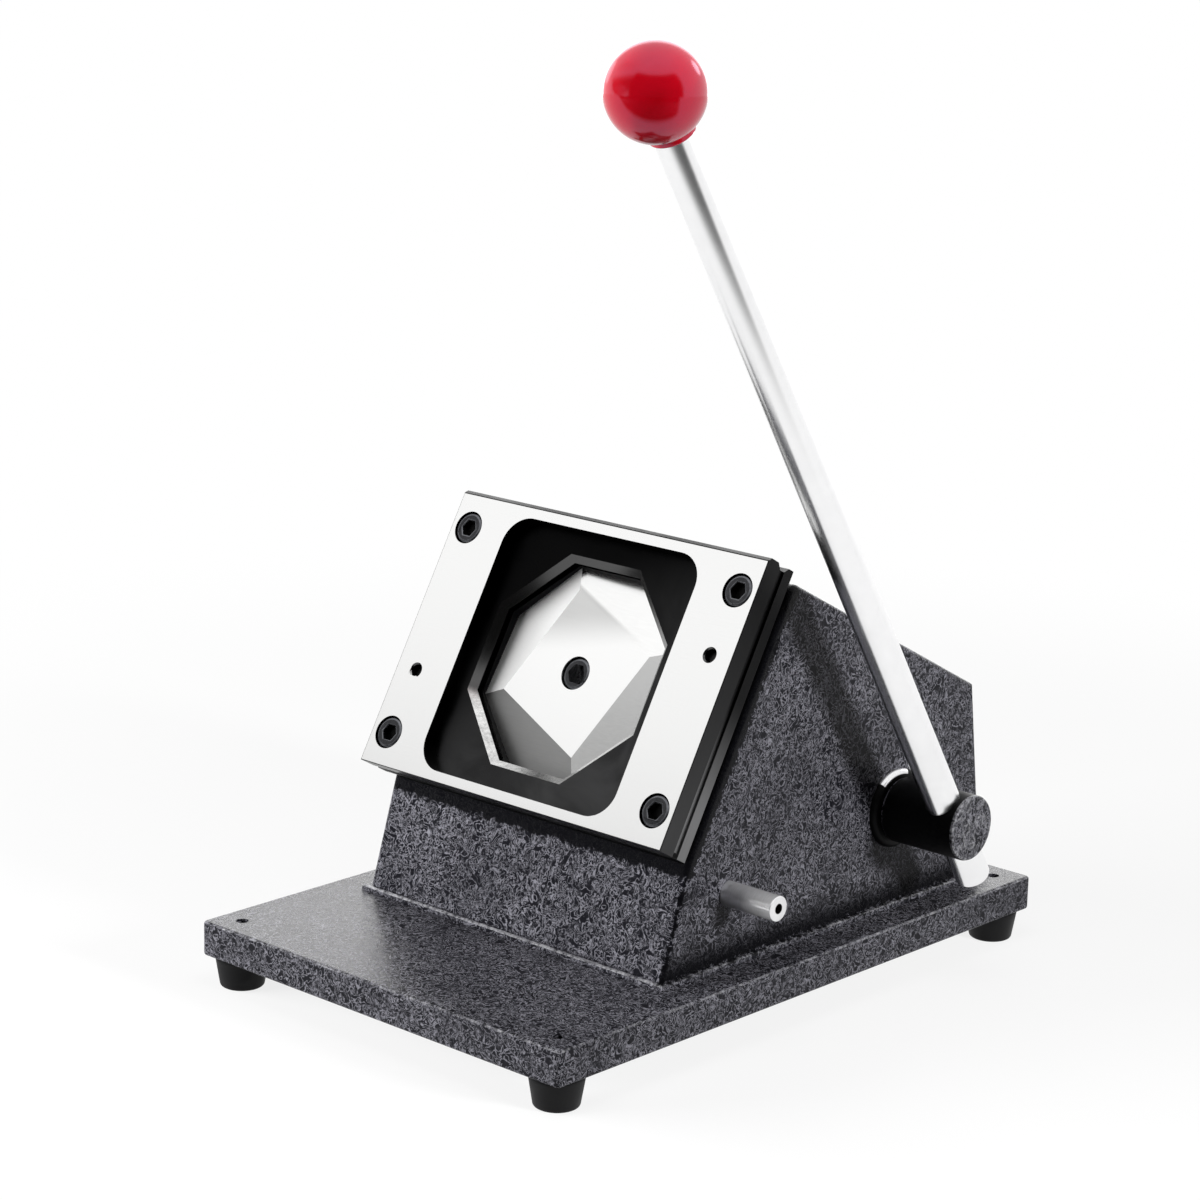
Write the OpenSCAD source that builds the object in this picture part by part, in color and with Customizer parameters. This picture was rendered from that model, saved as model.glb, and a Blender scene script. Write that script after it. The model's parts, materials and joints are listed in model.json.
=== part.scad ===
// Lever die cutter: a bench press that punches octagons out of card fed down a slot behind its die.
// The lever turns a cross shaft, and an eccentric on the shaft pushes the ram and punch forward.
// Millimetres. +Z is up and -Y faces the user. The origin is on the base plate's top face, at the
// centre of its four corner holes.

/* [Base plate] */
// Width of the base plate
base_w = 190; // [184:1:230]
// Length of the base plate
base_l = 280; // [272:1:340]
// Thickness of the base plate
base_t = 14; // [12:0.5:20]
// Radius of the base plate's upright corners
base_corner_r = 2; // [1:0.5:9]
// Distance of a corner hole from the plate's edges
hole_inset = 11; // [10.5:0.5:14]
// Diameter of a corner hole at the top face
hole_d = 5; // [4.6:0.1:6]
// Depth of the wide part of a corner hole
hole_depth = 7; // [5:0.5:8]

/* [Rubber feet] */
// Diameter of a foot where it meets the base plate
foot_top_d = 21; // [18:0.5:24]
// Diameter of a foot where it meets the table
foot_bottom_d = 17; // [14:0.5:20]
// Height of a foot
foot_h = 12; // [9:0.5:16]
// Diameter of a foot screw
foot_screw_d = 4; // [3:0.1:4.2]
// Diameter of a foot screw's head
foot_head_d = 8; // [7:0.5:9]
// Height of a foot screw's head
foot_head_h = 3; // [2:0.25:3.5]
// Diameter of the washer inside a foot
foot_washer_d = 10; // [9:0.5:12]
// Thickness of the washer inside a foot
foot_washer_t = 1; // [0.8:0.1:1.5]
// Height of a foot screw's head above the table
foot_head_rise = 1; // [0.5:0.1:2]
// Width of the cross slot in a foot screw's head
foot_cross_w = 4.8; // [3:0.1:6]

/* [Die stack] */
// Lean of the die's face, in degrees back from upright
lean = 29.4; // [26:0.1:32]
// Place of the face's bottom edge, along Y
die_y = -71.7; // [-74:0.1:-69]
// Height of the face's bottom edge above the base plate
die_z = 54.5; // [53:0.1:58]
// Width of the die block
die_w = 158; // [156:0.5:166]
// Height of the die block
die_h = 115.5; // [114:0.5:120]
// Thickness of the die block
die_t = 8; // [7.5:0.1:9]
// Width of the pocket in the die block
pocket_w = 100; // [96:0.5:106]
// Height of the pocket in the die block
pocket_h = 105; // [98:0.5:107]
// Corner radius of the pocket
pocket_r = 11.5; // [6:0.5:16]
// Depth of the pocket
pocket_depth = 5; // [4:0.1:5.5]
// Height of the punch's axis above the block's bottom edge
punch_v = 57; // [56:0.1:58]
// Width of the octagonal die opening, across flats
octagon_w = 82; // [76:0.5:84]
// Relief chamfer round the front of the octagonal opening
octagon_relief = 2.6; // [1:0.1:3]
// Height of the card slot between die block and guide plate
slot_gap = 3; // [2:0.1:4]
// Width of each side strip in the card slot
spacer_w = 24; // [18:0.5:26]
// Step of the side strips behind the plates' edges
spacer_step = 0.8; // [0.2:0.1:1.5]
// Thickness of the guide plate
guide_t = 5; // [4:0.1:6]
// Lead-in chamfer at the slot's top
lead_in = 2; // [1:0.1:2.5]
// Chamfer on the face's top edge
face_chamfer = 1.5; // [0.5:0.1:2.5]

/* [Die fasteners] */
// Distance of a die screw from the block's side edges
screw_inset_x = 9; // [8:0.1:11]
// Distance between the upper and lower die screws, level with the punch's axis in the middle
screw_pitch_v = 87; // [84:0.5:89]
// Diameter of a die screw
die_screw_d = 8; // [7:0.1:8]
// Diameter of a die screw's head
die_head_d = 13; // [11:0.1:13]
// Height of a die screw's head
die_head_h = 5; // [4:0.1:5.5]
// Reach of a die screw behind the guide plate
die_screw_reach = 18; // [14:0.5:22]
// Width of the die screws' hexagon sockets, across flats
die_hex_w = 6; // [4:0.1:7]
// Width of the other cap screws' hexagon sockets, across flats
cap_hex_w = 6; // [5:0.1:7]
// Depth of the hexagon sockets
hex_depth = 3; // [2:0.1:3.5]
// Diameter of a dowel pin
dowel_d = 5; // [4:0.1:6]
// Distance of a dowel pin from the block's side edge
dowel_inset = 10.5; // [9:0.1:14]
// Height of the left dowel above the block's bottom edge
dowel_left_v = 40; // [34:0.5:48]
// Height of the right dowel above the block's bottom edge
dowel_right_v = 74.5; // [66:0.5:80]
// Depth of a dowel's end below the die face
dowel_sink = 3; // [1:0.1:4]
// Reach of a dowel behind the guide plate
dowel_reach = 12; // [8:0.5:13]

/* [Body casting] */
// Step of the casting's sides behind the die block's sides
body_step = 1; // [0:0.1:2]
// Thickness of the casting's walls
wall = 9; // [8:0.25:10]
// Thickness of the leaning front wall
front_wall = 12; // [10:0.5:14]
// Place of the front foot edge, along Y
body_front_y = -67.5; // [-72:0.5:-63]
// Place of the rear foot edge, along Y
body_rear_y = 129; // [125:0.5:134]
// Place of the rear top edge, along Y
body_crown_y = 117.5; // [113:0.5:119]
// Slope of the casting's top, in degrees below level
top_slope = 27.5; // [24:0.5:29]
// Drop of the casting's front top edge below the die block's top edge
crown_drop = 3; // [2:0.1:4]
// Radius of the casting's long edges
body_edge_r = 4; // [1:0.5:6]
// Wall of the bosses inside the casting
boss_wall = 7; // [5:0.5:8]
// Clearance of the punch's corners in the casting's well
well_gap = 2.6; // [1:0.1:4]
// Room behind the punch in the casting's well
well_room = 6; // [4:0.5:8]
// Height of the machined pad under the die stack
pad_h = 4; // [2:0.1:5]
// Step of the machined pad behind the plates' edges
pad_step = 3.5; // [2:0.1:3.8]
// Height of the lip round the casting's foot
lip_h = 2; // [1:0.1:4]
// Width of the lip round the casting's foot
lip_w = 2; // [1:0.1:4]
// Diameter of a body bolt
bolt_d = 8; // [6:0.5:9]
// Diameter of a body bolt's head
bolt_head_d = 13; // [11:0.5:14]
// Height of a body bolt's head
bolt_head_h = 8; // [6:0.5:8.5]
// Reach of a body bolt above the base plate
bolt_reach = 14; // [10:0.5:15]
// Distance of a body bolt from the casting's sides
bolt_inset_x = 18; // [16:0.5:22]
// Distance of a body bolt from the casting's foot edges
bolt_inset_y = 24; // [22:0.5:28]

/* [Ram and punch] */
// Depth of the punch's flat behind the die face, at rest
punch_depth = 11.6; // [11.2:0.1:12.5]
// Length of the punch
punch_l = 20; // [18:0.5:22]
// Clearance between punch and die, each side
punch_gap = 0.05; // [0.02:0.01:0.2]
// Half diagonal of the raised square on the punch
square_r = 34.5; // [30:0.5:40]
// Fall of the punch's facets, in degrees
facet_fall = 9; // [5:0.5:10]
// Diameter of the ram's stem
stem_d = 34; // [30:0.5:36]
// Length of the ram's stem
stem_l = 60; // [58:0.5:62]
// Diameter of the ram's head
ram_head_d = 62; // [56:0.5:66]
// Wall of the bush round the ram
ram_bush_wall = 5; // [3:0.25:6]
// Length of the bush round the ram
ram_bush_l = 28; // [24:0.5:30]
// Diameter of the follower pad
follower_d = 40; // [36:0.5:46]
// Thickness of the follower pad
follower_t = 6; // [4:0.5:8]
// Diameter of the punch screw
punch_screw_d = 8; // [6:0.5:8]
// Reach of the punch screw in the ram
punch_screw_reach = 12; // [8:0.5:16]
// Diameter of the punch screw's head
punch_head_d = 13; // [11:0.5:13]
// Height of the punch screw's head
punch_head_h = 8; // [6:0.5:9]
// Diameter of a punch dowel
punch_dowel_d = 5; // [4:0.5:5]
// Distance of a punch dowel from the ram's axis
punch_dowel_x = 12; // [11:0.25:12.5]
// Depth of a punch dowel in the punch and in the ram
punch_dowel_depth = 8; // [6:0.5:9]
// Diameter of the return spring's wire
spring_wire_d = 4; // [3:0.1:4.2]
// Mean diameter of the return spring
spring_d = 45; // [43:0.5:50]
// Turns of the return spring
spring_turns = 4; // [3:0.25:4.5]

/* [Shaft and eccentric] */
// Distance of the shaft's axis behind the die face
shaft_back = 129; // [127:0.25:131]
// Diameter of the cross shaft
shaft_d = 18; // [16:0.25:20]
// Throw of the eccentric
throw = 8; // [7.5:0.1:8.5]
// Rim of the eccentric beyond the shaft, at its thin side
cam_rim = 3; // [2.5:0.1:4]
// Width of the eccentric
cam_w = 30; // [24:0.5:40]
// Wall of the shaft bushes
bush_wall = 4; // [3:0.25:5]
// Diameter of the shaft bushes' flanges
bush_flange_d = 32; // [29:0.5:36]
// Thickness of the shaft bushes' flanges
bush_flange_t = 2.5; // [2:0.25:4]
// Length of the shaft bushes inside the casting
bush_l = 20; // [18:0.5:24]
// Width of the keys
key_w = 5; // [4:0.25:6]
// Length of the hub's key
key_l = 11; // [8:0.5:12]
// Diameter of the grub screws
grub_d = 6; // [5:0.25:6]
// Length of the grub screws
grub_l = 5; // [4:0.25:5]
// Width of the grub screws' hexagon sockets, across flats
grub_hex_w = 3; // [2:0.1:3.5]
// Depth of the grub screws' hexagon sockets
grub_hex_depth = 2; // [1.5:0.1:2.2]
// Thickness of the retaining ring
ring_t = 1.5; // [1:0.1:2]
// Outer diameter of the retaining ring
ring_d = 25; // [23:0.5:28]
// Depth of the retaining ring's groove
ring_depth = 1; // [0.5:0.1:1.5]
// Opening of the retaining ring
ring_mouth = 9; // [6:0.5:12]
// Length of the shaft beyond the retaining ring
ring_land = 2.5; // [1.5:0.25:4]

/* [Lever] */
// Diameter of the hub
hub_d = 26; // [25:0.5:30]
// Length of the hub
hub_l = 35; // [32:0.5:36]
// Chamfer on the hub's outer edge
hub_chamfer = 1.2; // [0.5:0.1:2]
// Distance of the rod's axis from the hub's outer face
rod_inset = 10; // [9:0.25:11]
// Wall between the shaft's bore and the rod's bore in the hub
hub_web = 2; // [1:0.25:4]
// Diameter of the lever rod
rod_d = 14; // [12:0.25:15]
// Lean of the lever at rest, in degrees forward from upright
lever_lean = 32.25; // [28:0.25:36]
// Length of the rod from the shaft's axis to the ball's centre
lever_l = 344.5; // [300:0.5:400]
// Length of the rod below the shaft's axis
rod_tail = 29.5; // [24:0.5:36]
// Diameter of the ball knob
ball_d = 35; // [30:0.5:42]
// Diameter of the ball's neck
neck_d = 17; // [15.5:0.5:20]
// Height of the ball's flat neck below its centre
neck_drop = 17; // [15:0.25:18.5]
// Diameter of the rod's threaded end
stud_d = 10; // [8:0.5:11]
// Length of the rod's threaded end
stud_l = 18; // [12:0.5:22]
// Diameter of the stop pin
stop_d = 10; // [8:0.5:11]
// Place of the stop pin, along Y
stop_y = -31; // [-33:0.5:-20]
// Overlap of the stop pin with the rod, along X
stop_overlap = 3.5; // [3:0.25:7]
// Length of the stop pin inside the casting
stop_seat = 12; // [10:0.5:16]
// Diameter of the centre hole in the stop pin's end
centre_d = 5; // [3:0.25:6]
// Depth of the centre hole in the stop pin's end
centre_depth = 3; // [1.5:0.25:5]

/* [Fits] */
// Clearance of fixed pieces in their seats, each side
seat_gap = 0.05; // [0.02:0.01:0.1]
// Clearance of turning and sliding pieces, each side
run_gap = 0.04; // [0.02:0.01:0.08]
// Clearance of screws in plain holes, each side
bolt_gap = 0.25; // [0.2:0.05:0.5]
// Gap between eccentric and follower pad at rest
cam_gap = 0.15; // [0.12:0.01:0.2]
// Gap between rod and stop pin with the lever down
stop_gap = 0.3; // [0.2:0.05:0.5]
// End gap of the hub and ring against the bush flanges
end_gap = 0.3; // [0.1:0.05:0.5]

/* [Hidden] */
$fn = 64;
paint = [0.22, 0.22, 0.24];
ground_steel = [0.82, 0.82, 0.81];
black_steel = [0.12, 0.12, 0.12];
bright_steel = [0.76, 0.77, 0.79];
dark_rubber = [0.06, 0.06, 0.06];
bronze = [0.70, 0.55, 0.35];

// How far a cut runs past the face that it opens
past = 1;
// Rounding that stays invisible, for drilled tips and small edges
edge = 0.8;

stack_t = die_t + slot_gap + guide_t;
face_d = stack_t + pad_h;
body_w = die_w - 2 * body_step;
body_x = body_w / 2;
hole_x = base_w / 2 - hole_inset;
hole_y = base_l / 2 - hole_inset;
lever_swing = 90 - lever_lean;

// Point in the YZ plane that lies d behind the die face and v above its bottom edge
function at(d, v) = [die_y + v * sin(lean) + d * cos(lean), die_z + v * cos(lean) - d * sin(lean)];

// The shaft's axis lies on the punch's axis
shaft = at(shaft_back, punch_v);
shaft_r = shaft_d / 2;
cam_r = shaft_r + throw + cam_rim;
// At rest the eccentric stands half the lever's swing behind its middle place
cam_turn = 90 - lean - lever_swing / 2;
cam_y = throw * cos(cam_turn);
cam_z = throw * sin(cam_turn);
cam_back = throw * sin(lever_swing / 2);

// Depths along the punch's axis, behind the die face
punch_back = punch_depth + punch_l;
well_floor = punch_back + well_room;
ram_bush_end = well_floor + ram_bush_l;
ram_head_d0 = punch_back + stem_l;
follower_face = shaft_back + cam_back - cam_r - cam_gap;
well_r = octagon_w / 2 / cos(22.5) + well_gap;
ram_bush_r = stem_d / 2 + run_gap + ram_bush_wall;

// Places along the shaft
flange_x = body_x + bush_flange_t;
hub_x = flange_x + end_gap;
hub_end = hub_x + hub_l;
rod_x = hub_end - rod_inset;
hub_bore_end = rod_x - rod_d / 2 - hub_web;
bush_r = shaft_r + run_gap + bush_wall;
ring_x = flange_x + end_gap;
shaft_left = ring_x + ring_t + ring_land;
stop_z = shaft.y - rod_d / 2 - stop_gap - stop_d / 2;

// Foot levels
foot_bottom = -base_t - foot_h;
foot_recess = foot_head_rise + foot_head_h + foot_washer_t;

screw_x = die_w / 2 - screw_inset_x;
dowel_x = die_w / 2 - dowel_inset;
dowel_spots = [[-dowel_x, dowel_left_v], [dowel_x, dowel_right_v]];
screw_spots = [for (x = [-screw_x, screw_x], side = [-1, 1])
                   [x, punch_v + side * screw_pitch_v / 2]];
foot_spots = [for (x = [-hole_x, hole_x], y = [-hole_y, hole_y]) [x, y]];
bolt_spots = [for (x = [bolt_inset_x - body_x, body_x - bolt_inset_x],
                   y = [body_front_y + bolt_inset_y, body_rear_y - bolt_inset_y]) [x, y]];

// Outline helpers: unit vector, cross product, meeting point of two lines
function unit(a) = a / norm(a);
function cross2(a, b) = a.x * b.y - a.y * b.x;
function meet(p, u, q, w) = p + u * cross2(q - p, w) / cross2(u, w);
function before(list, i) = list[(i + len(list) - 1) % len(list)];
function after(list, i) = list[(i + 1) % len(list)];

// Points of an arc of radius r that rounds the corner p between its neighbours a and b
function corner(p, a, b, r, steps = 6) =
    let (u = unit(a - p), w = unit(b - p), half = acos(u * w) / 2)
    let (c = p + unit(u + w) * r / sin(half), s = p + u * r / tan(half) - c)
    let (start = atan2(s.y, s.x), e = p + w * r / tan(half) - c)
    let (turn = (atan2(e.y, e.x) - start + 540) % 360 - 180)
    [for (i = [0:steps]) c + r * [cos(start + turn * i / steps), sin(start + turn * i / steps)]];
function rounded(points, radii) =
    [for (i = [0:len(points) - 1])
        let (p = points[i], r = radii[i])
        each (r == 0 ? [p] : corner(p, before(points, i), after(points, i), r))];

// A clockwise outline moved inwards, each edge by its own wall
function inset(points, walls) =
    [for (i = [0:len(points) - 1])
        let (u = unit(points[i] - before(points, i)), w = unit(after(points, i) - points[i]))
        meet(points[i] + before(walls, i) * [u.y, -u.x], u, points[i] + walls[i] * [w.y, -w.x], w)];

// Side outline of the casting, clockwise from its front foot
crown = at(face_d, die_h - crown_drop);
body_outline = [
    [body_front_y, 0],
    at(face_d, 0),
    crown,
    [body_crown_y, crown.y - (body_crown_y - crown.x) * tan(top_slope)],
    [body_rear_y, 0]
];
body_walls = [wall, front_wall, wall, wall, -past];
// The bosses end inside the walls that they stand on
boss_walls = [wall / 2, front_wall / 2, wall / 2, wall / 2, 0];

// Moves children to the die face: X across, Y up the face, Z out of the face
module in_die_frame() {
    translate([0, die_y, die_z]) rotate([90 - lean, 0, 0]) children();
}

// Moves children to the punch's axis, with Z running back from the die face
module on_punch_axis(depth = 0) {
    in_die_frame() translate([0, punch_v, -depth]) rotate([0, 180, 0]) children();
}

// Moves children to the shaft's axis, with Z running along X from the given place
module on_shaft(x = 0) {
    translate([x, shaft.x, shaft.y]) rotate([90, 0, 90]) children();
}

// Moves children to the lever: X as it is, Z up the rod from the shaft's axis
module on_lever() {
    translate([rod_x, shaft.x, shaft.y]) rotate([lever_lean, 0, 0]) children();
}

module across(width) {
    rotate([90, 0, 90]) linear_extrude(width, center = true) children();
}

module round_rect(w, h, r) {
    square([w - 2 * r, h], center = true);
    square([w, h - 2 * r], center = true);
    for (x = [-1, 1], y = [-1, 1]) translate([x * (w / 2 - r), y * (h / 2 - r)]) circle(r);
}

// Round bar with chamfered ends
module bar(r, l, c) {
    rotate_extrude() polygon([[0, 0], [r - c, 0], [r, c], [r, l - c], [r - c, l], [0, l]]);
}

// Cap screw with its head's top at z = 0, pointing down, with a hexagon socket
module cap_screw(d, l, head_d, head_h, hex_w) {
    difference() {
        union() {
            translate([0, 0, -head_h]) cylinder(d = head_d, h = head_h);
            translate([0, 0, -head_h - l]) cylinder(d = d, h = l + edge);
        }
        translate([0, 0, -hex_depth]) cylinder(d = hex_w / cos(30), h = hex_depth + past, $fn = 6);
    }
}

// Octagonal taper with flats square to X and Y
module octagon_taper(w_low, w_high, h) {
    reach = w_low + w_high;
    intersection_for (k = [0:3]) {
        rotate(45 * k) rotate([90, 0, 0]) linear_extrude(reach, center = true)
            polygon([[-w_low / 2, 0], [w_low / 2, 0], [w_high / 2, h], [-w_high / 2, h]]);
    }
}

// Holes for the die stack's screws and dowels, from the face back by their depths
module stack_holes(screw_gap, screw_depth, dowel_depth) {
    in_die_frame() {
        for (p = screw_spots) translate([p.x, p.y, -screw_depth])
            cylinder(r = die_screw_d / 2 + screw_gap, h = screw_depth + past);
        for (p = dowel_spots) translate([p.x, p.y, -dowel_depth])
            cylinder(r = dowel_d / 2 + seat_gap, h = dowel_depth + past);
    }
}

// Wedge that bevels an edge which runs along X at the given height and depth
module edge_bevel(v, depth, size) {
    in_die_frame() translate([0, v, -depth]) rotate([45, 0, 0])
        cube([die_w + 2 * past, size * sqrt(2), size * sqrt(2)], center = true);
}

module base_plate() {
    color(paint) difference() {
        translate([0, 0, -base_t]) linear_extrude(base_t) round_rect(base_w, base_l, base_corner_r);
        for (p = foot_spots) translate([p.x, p.y, 0]) {
            translate([0, 0, -hole_depth]) cylinder(d = hole_d, h = hole_depth + past);
            translate([0, 0, -base_t - past]) cylinder(r = foot_screw_d / 2 + seat_gap, h = base_t + past);
        }
        for (p = bolt_spots) translate([p.x, p.y, -base_t - past]) {
            cylinder(r = bolt_d / 2 + bolt_gap, h = base_t + 2 * past);
            cylinder(r = bolt_head_d / 2 + bolt_gap, h = bolt_head_h + bolt_gap + past);
        }
    }
}

module rubber_feet() {
    bore = foot_screw_d / 2 + bolt_gap;
    recess = foot_washer_d / 2 + bolt_gap;
    color(dark_rubber) for (p = foot_spots) translate([p.x, p.y, foot_bottom]) rotate_extrude() polygon([
        [recess, 0], [foot_bottom_d / 2 - edge, 0], [foot_bottom_d / 2, edge],
        [foot_top_d / 2, foot_h - edge], [foot_top_d / 2 - edge / 2, foot_h], [bore, foot_h],
        [bore, foot_recess], [recess, foot_recess]
    ]);
}

module foot_washers() {
    color(bright_steel) for (p = foot_spots) translate([p.x, p.y, foot_bottom + foot_recess - foot_washer_t])
        difference() {
            cylinder(d = foot_washer_d, h = foot_washer_t);
            translate([0, 0, -past]) cylinder(r = foot_screw_d / 2 + bolt_gap, h = foot_washer_t + 2 * past);
        }
}

module foot_screws() {
    head_top = foot_bottom + foot_recess - foot_washer_t;
    tip = -hole_depth - edge;
    color(bright_steel) for (p = foot_spots) translate([p.x, p.y, 0]) difference() {
        union() {
            translate([0, 0, head_top - foot_head_h]) cylinder(d = foot_head_d, h = foot_head_h);
            translate([0, 0, head_top - edge]) cylinder(d = foot_screw_d, h = tip - head_top + edge);
        }
        for (turn = [0, 90]) translate([0, 0, head_top - foot_head_h]) rotate(turn)
            cube([foot_cross_w, edge, foot_head_h], center = true);
    }
}

module body_shell() {
    difference() {
        union() {
            across(body_w) polygon(rounded(body_outline, [0, edge, body_edge_r, body_edge_r, 0]));
            translate([-body_x - lip_w, body_front_y - lip_w, 0])
                cube([body_w + 2 * lip_w, body_rear_y - body_front_y + 2 * lip_w, lip_h]);
            in_die_frame() translate([0, pad_step, -face_d - past]) linear_extrude(pad_h + past)
                translate([pad_step - die_w / 2, 0])
                    square([die_w - 2 * pad_step, die_h - crown_drop - 2 * pad_step]);
        }
        across(body_w - 2 * wall) polygon(inset(body_outline, body_walls));
    }
}

// Bosses that stand inside the casting, for the punch's well, the bushes, the screws and the stop pin
module body_bosses() {
    intersection() {
        across(body_w - wall) polygon(inset(body_outline, boss_walls));
        union() {
            on_punch_axis(face_d) cylinder(r = well_r + boss_wall, h = well_floor + boss_wall - face_d);
            on_punch_axis(face_d) cylinder(r = ram_bush_r + boss_wall, h = ram_bush_end - face_d);
            for (side = [-1, 1]) on_shaft(side * (body_x - bush_l / 2))
                cylinder(r = bush_r + boss_wall, h = bush_l, center = true);
            for (p = bolt_spots) translate([p.x, p.y, 0])
                cylinder(r = bolt_d / 2 + boss_wall, h = bolt_reach + boss_wall);
            for (p = screw_spots) in_die_frame()
                translate([p.x, p.y, -stack_t - die_screw_reach - boss_wall])
                    cylinder(r = die_screw_d / 2 + boss_wall, h = die_screw_reach);
            translate([body_x - stop_seat - boss_wall, stop_y, stop_z]) rotate([0, 90, 0])
                cylinder(r = stop_d / 2 + boss_wall, h = stop_seat);
        }
    }
}

module body_casting() {
    color(paint) difference() {
        union() {
            body_shell();
            body_bosses();
        }
        on_punch_axis(stack_t - past) cylinder(r = well_r, h = well_floor - stack_t + past);
        on_punch_axis(stack_t) cylinder(r = ram_bush_r + seat_gap, h = ram_bush_end);
        for (side = [-1, 1]) on_shaft(side * (body_x - bush_l / 2))
            cylinder(r = bush_r + seat_gap, h = bush_l + 2 * past, center = true);
        for (p = bolt_spots) translate([p.x, p.y, -past])
            cylinder(r = bolt_d / 2 + seat_gap, h = bolt_reach + 2 * past);
        stack_holes(seat_gap, stack_t + die_screw_reach + past, stack_t + dowel_reach + past);
        translate([body_x - stop_seat, stop_y, stop_z]) rotate([0, 90, 0])
            cylinder(r = stop_d / 2 + seat_gap, h = stop_seat + past);
    }
}

module body_bolts() {
    color(black_steel) for (p = bolt_spots) translate([p.x, p.y, bolt_head_h + bolt_gap - base_t])
        rotate([180, 0, 0]) translate([0, 0, bolt_head_h])
            cap_screw(bolt_d, base_t - bolt_head_h - bolt_gap + bolt_reach,
                      bolt_head_d, bolt_head_h, cap_hex_w);
}

module die_block() {
    color(ground_steel) difference() {
        in_die_frame() translate([-die_w / 2, 0, -die_t]) cube([die_w, die_h, die_t]);
        in_die_frame() translate([0, punch_v, -pocket_depth]) linear_extrude(pocket_depth + past)
            round_rect(pocket_w, pocket_h, pocket_r);
        in_die_frame() translate([0, punch_v, -die_t - past])
            octagon_taper(octagon_w, octagon_w, die_t + past);
        in_die_frame() translate([0, punch_v, -pocket_depth - octagon_relief])
            octagon_taper(octagon_w, octagon_w + 2 * (octagon_relief + past), octagon_relief + past);
        edge_bevel(die_h, 0, face_chamfer);
        edge_bevel(die_h, die_t, lead_in);
        stack_holes(bolt_gap, die_t + past, die_t + past);
        in_die_frame() for (p = screw_spots) translate([p.x, p.y, -die_head_h - bolt_gap])
            cylinder(r = die_head_d / 2 + bolt_gap, h = die_head_h + bolt_gap + past);
    }
}

module slot_spacers() {
    color(black_steel) difference() {
        in_die_frame() for (side = [-1, 1])
            translate([side * (die_w / 2 - spacer_step - spacer_w / 2), die_h / 2, -die_t - slot_gap])
                linear_extrude(slot_gap) square([spacer_w, die_h - 2 * lead_in], center = true);
        stack_holes(bolt_gap, stack_t, stack_t);
    }
}

module guide_plate() {
    color(black_steel) difference() {
        in_die_frame() translate([-die_w / 2, 0, -stack_t]) cube([die_w, die_h, guide_t]);
        in_die_frame() translate([0, punch_v, -stack_t - past])
            octagon_taper(octagon_w, octagon_w, guide_t + 2 * past);
        edge_bevel(die_h, stack_t - guide_t, lead_in);
        stack_holes(bolt_gap, stack_t + past, stack_t + past);
    }
}

module die_screws() {
    color(black_steel) in_die_frame() for (p = screw_spots) translate([p.x, p.y, -bolt_gap])
        cap_screw(die_screw_d, stack_t + die_screw_reach - die_head_h - bolt_gap,
                  die_head_d, die_head_h, die_hex_w);
}

module dowel_pins() {
    color(black_steel) in_die_frame() for (p = dowel_spots) translate([p.x, p.y, -stack_t - dowel_reach])
        bar(dowel_d / 2, stack_t + dowel_reach - dowel_sink, edge / 2);
}

module shaft_bush(side) {
    color(bright_steel) mirror([side < 0 ? 1 : 0, 0, 0]) on_shaft(body_x) difference() {
        union() {
            translate([0, 0, -bush_l]) cylinder(r = bush_r, h = bush_l + edge);
            cylinder(d = bush_flange_d, h = bush_flange_t);
        }
        translate([0, 0, -bush_l - past])
            cylinder(r = shaft_r + run_gap, h = bush_l + bush_flange_t + 2 * past);
    }
}

module shaft_bush_right() {
    shaft_bush(1);
}

module shaft_bush_left() {
    shaft_bush(-1);
}

module ram_bush() {
    color(bronze) on_punch_axis(well_floor) difference() {
        cylinder(r = ram_bush_r, h = ram_bush_l);
        translate([0, 0, -past]) cylinder(r = stem_d / 2 + run_gap, h = ram_bush_l + 2 * past);
    }
}

// One closed tube along a helix; each ring of points stands square to the helix's circle
module coil(mean_r, wire_r, length, turns, rings = 16, sides = 8) {
    steps = rings * turns;
    points = [for (i = [0:steps], k = [0:sides - 1])
        let (a = 360 * i / rings, b = 360 * k / sides, r = mean_r + wire_r * cos(b))
        [r * cos(a), r * sin(a), length * i / steps + wire_r * sin(b)]];
    walls = [for (i = [0:steps - 1], k = [0:sides - 1])
        let (p = i * sides + k, q = i * sides + (k + 1) % sides)
        each [[p, q, p + sides], [q, q + sides, p + sides]]];
    first = [for (k = [1:sides - 2]) [0, k + 1, k]];
    last = [for (k = [1:sides - 2]) [steps * sides, steps * sides + k, steps * sides + k + 1]];
    polyhedron(points, concat(walls, first, last));
}

module return_spring() {
    wire_r = spring_wire_d / 2;
    room = ram_head_d0 - ram_bush_end - spring_wire_d - 2 * end_gap;
    color(bright_steel) on_punch_axis(ram_bush_end + wire_r + end_gap)
        coil(spring_d / 2, wire_r, room, spring_turns);
}

module stop_pin() {
    inner = body_x - stop_seat;
    length = rod_x - rod_d / 2 + stop_overlap - inner;
    slope = (centre_d - edge) / 2 / centre_depth;
    color(bright_steel) translate([inner, stop_y, stop_z]) rotate([0, 90, 0]) difference() {
        bar(stop_d / 2, length, edge);
        translate([0, 0, length - centre_depth])
            cylinder(r1 = edge / 2, r2 = centre_d / 2 + slope * past, h = centre_depth + past);
    }
}

module cross_shaft() {
    length = shaft_left + hub_bore_end - edge;
    color(bright_steel) difference() {
        on_shaft(-shaft_left) bar(shaft_r, length, edge);
        for (k = [[hub_x + edge, key_l], [-cam_w / 2, cam_w]]) on_shaft(k[0]) key_room(k[1]);
        on_shaft(-ring_x - ring_t - seat_gap) difference() {
            cylinder(r = shaft_r + past, h = ring_t + 2 * seat_gap);
            translate([0, 0, -past]) cylinder(r = shaft_r - ring_depth, h = ring_t + 2 * past);
        }
    }
}

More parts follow.
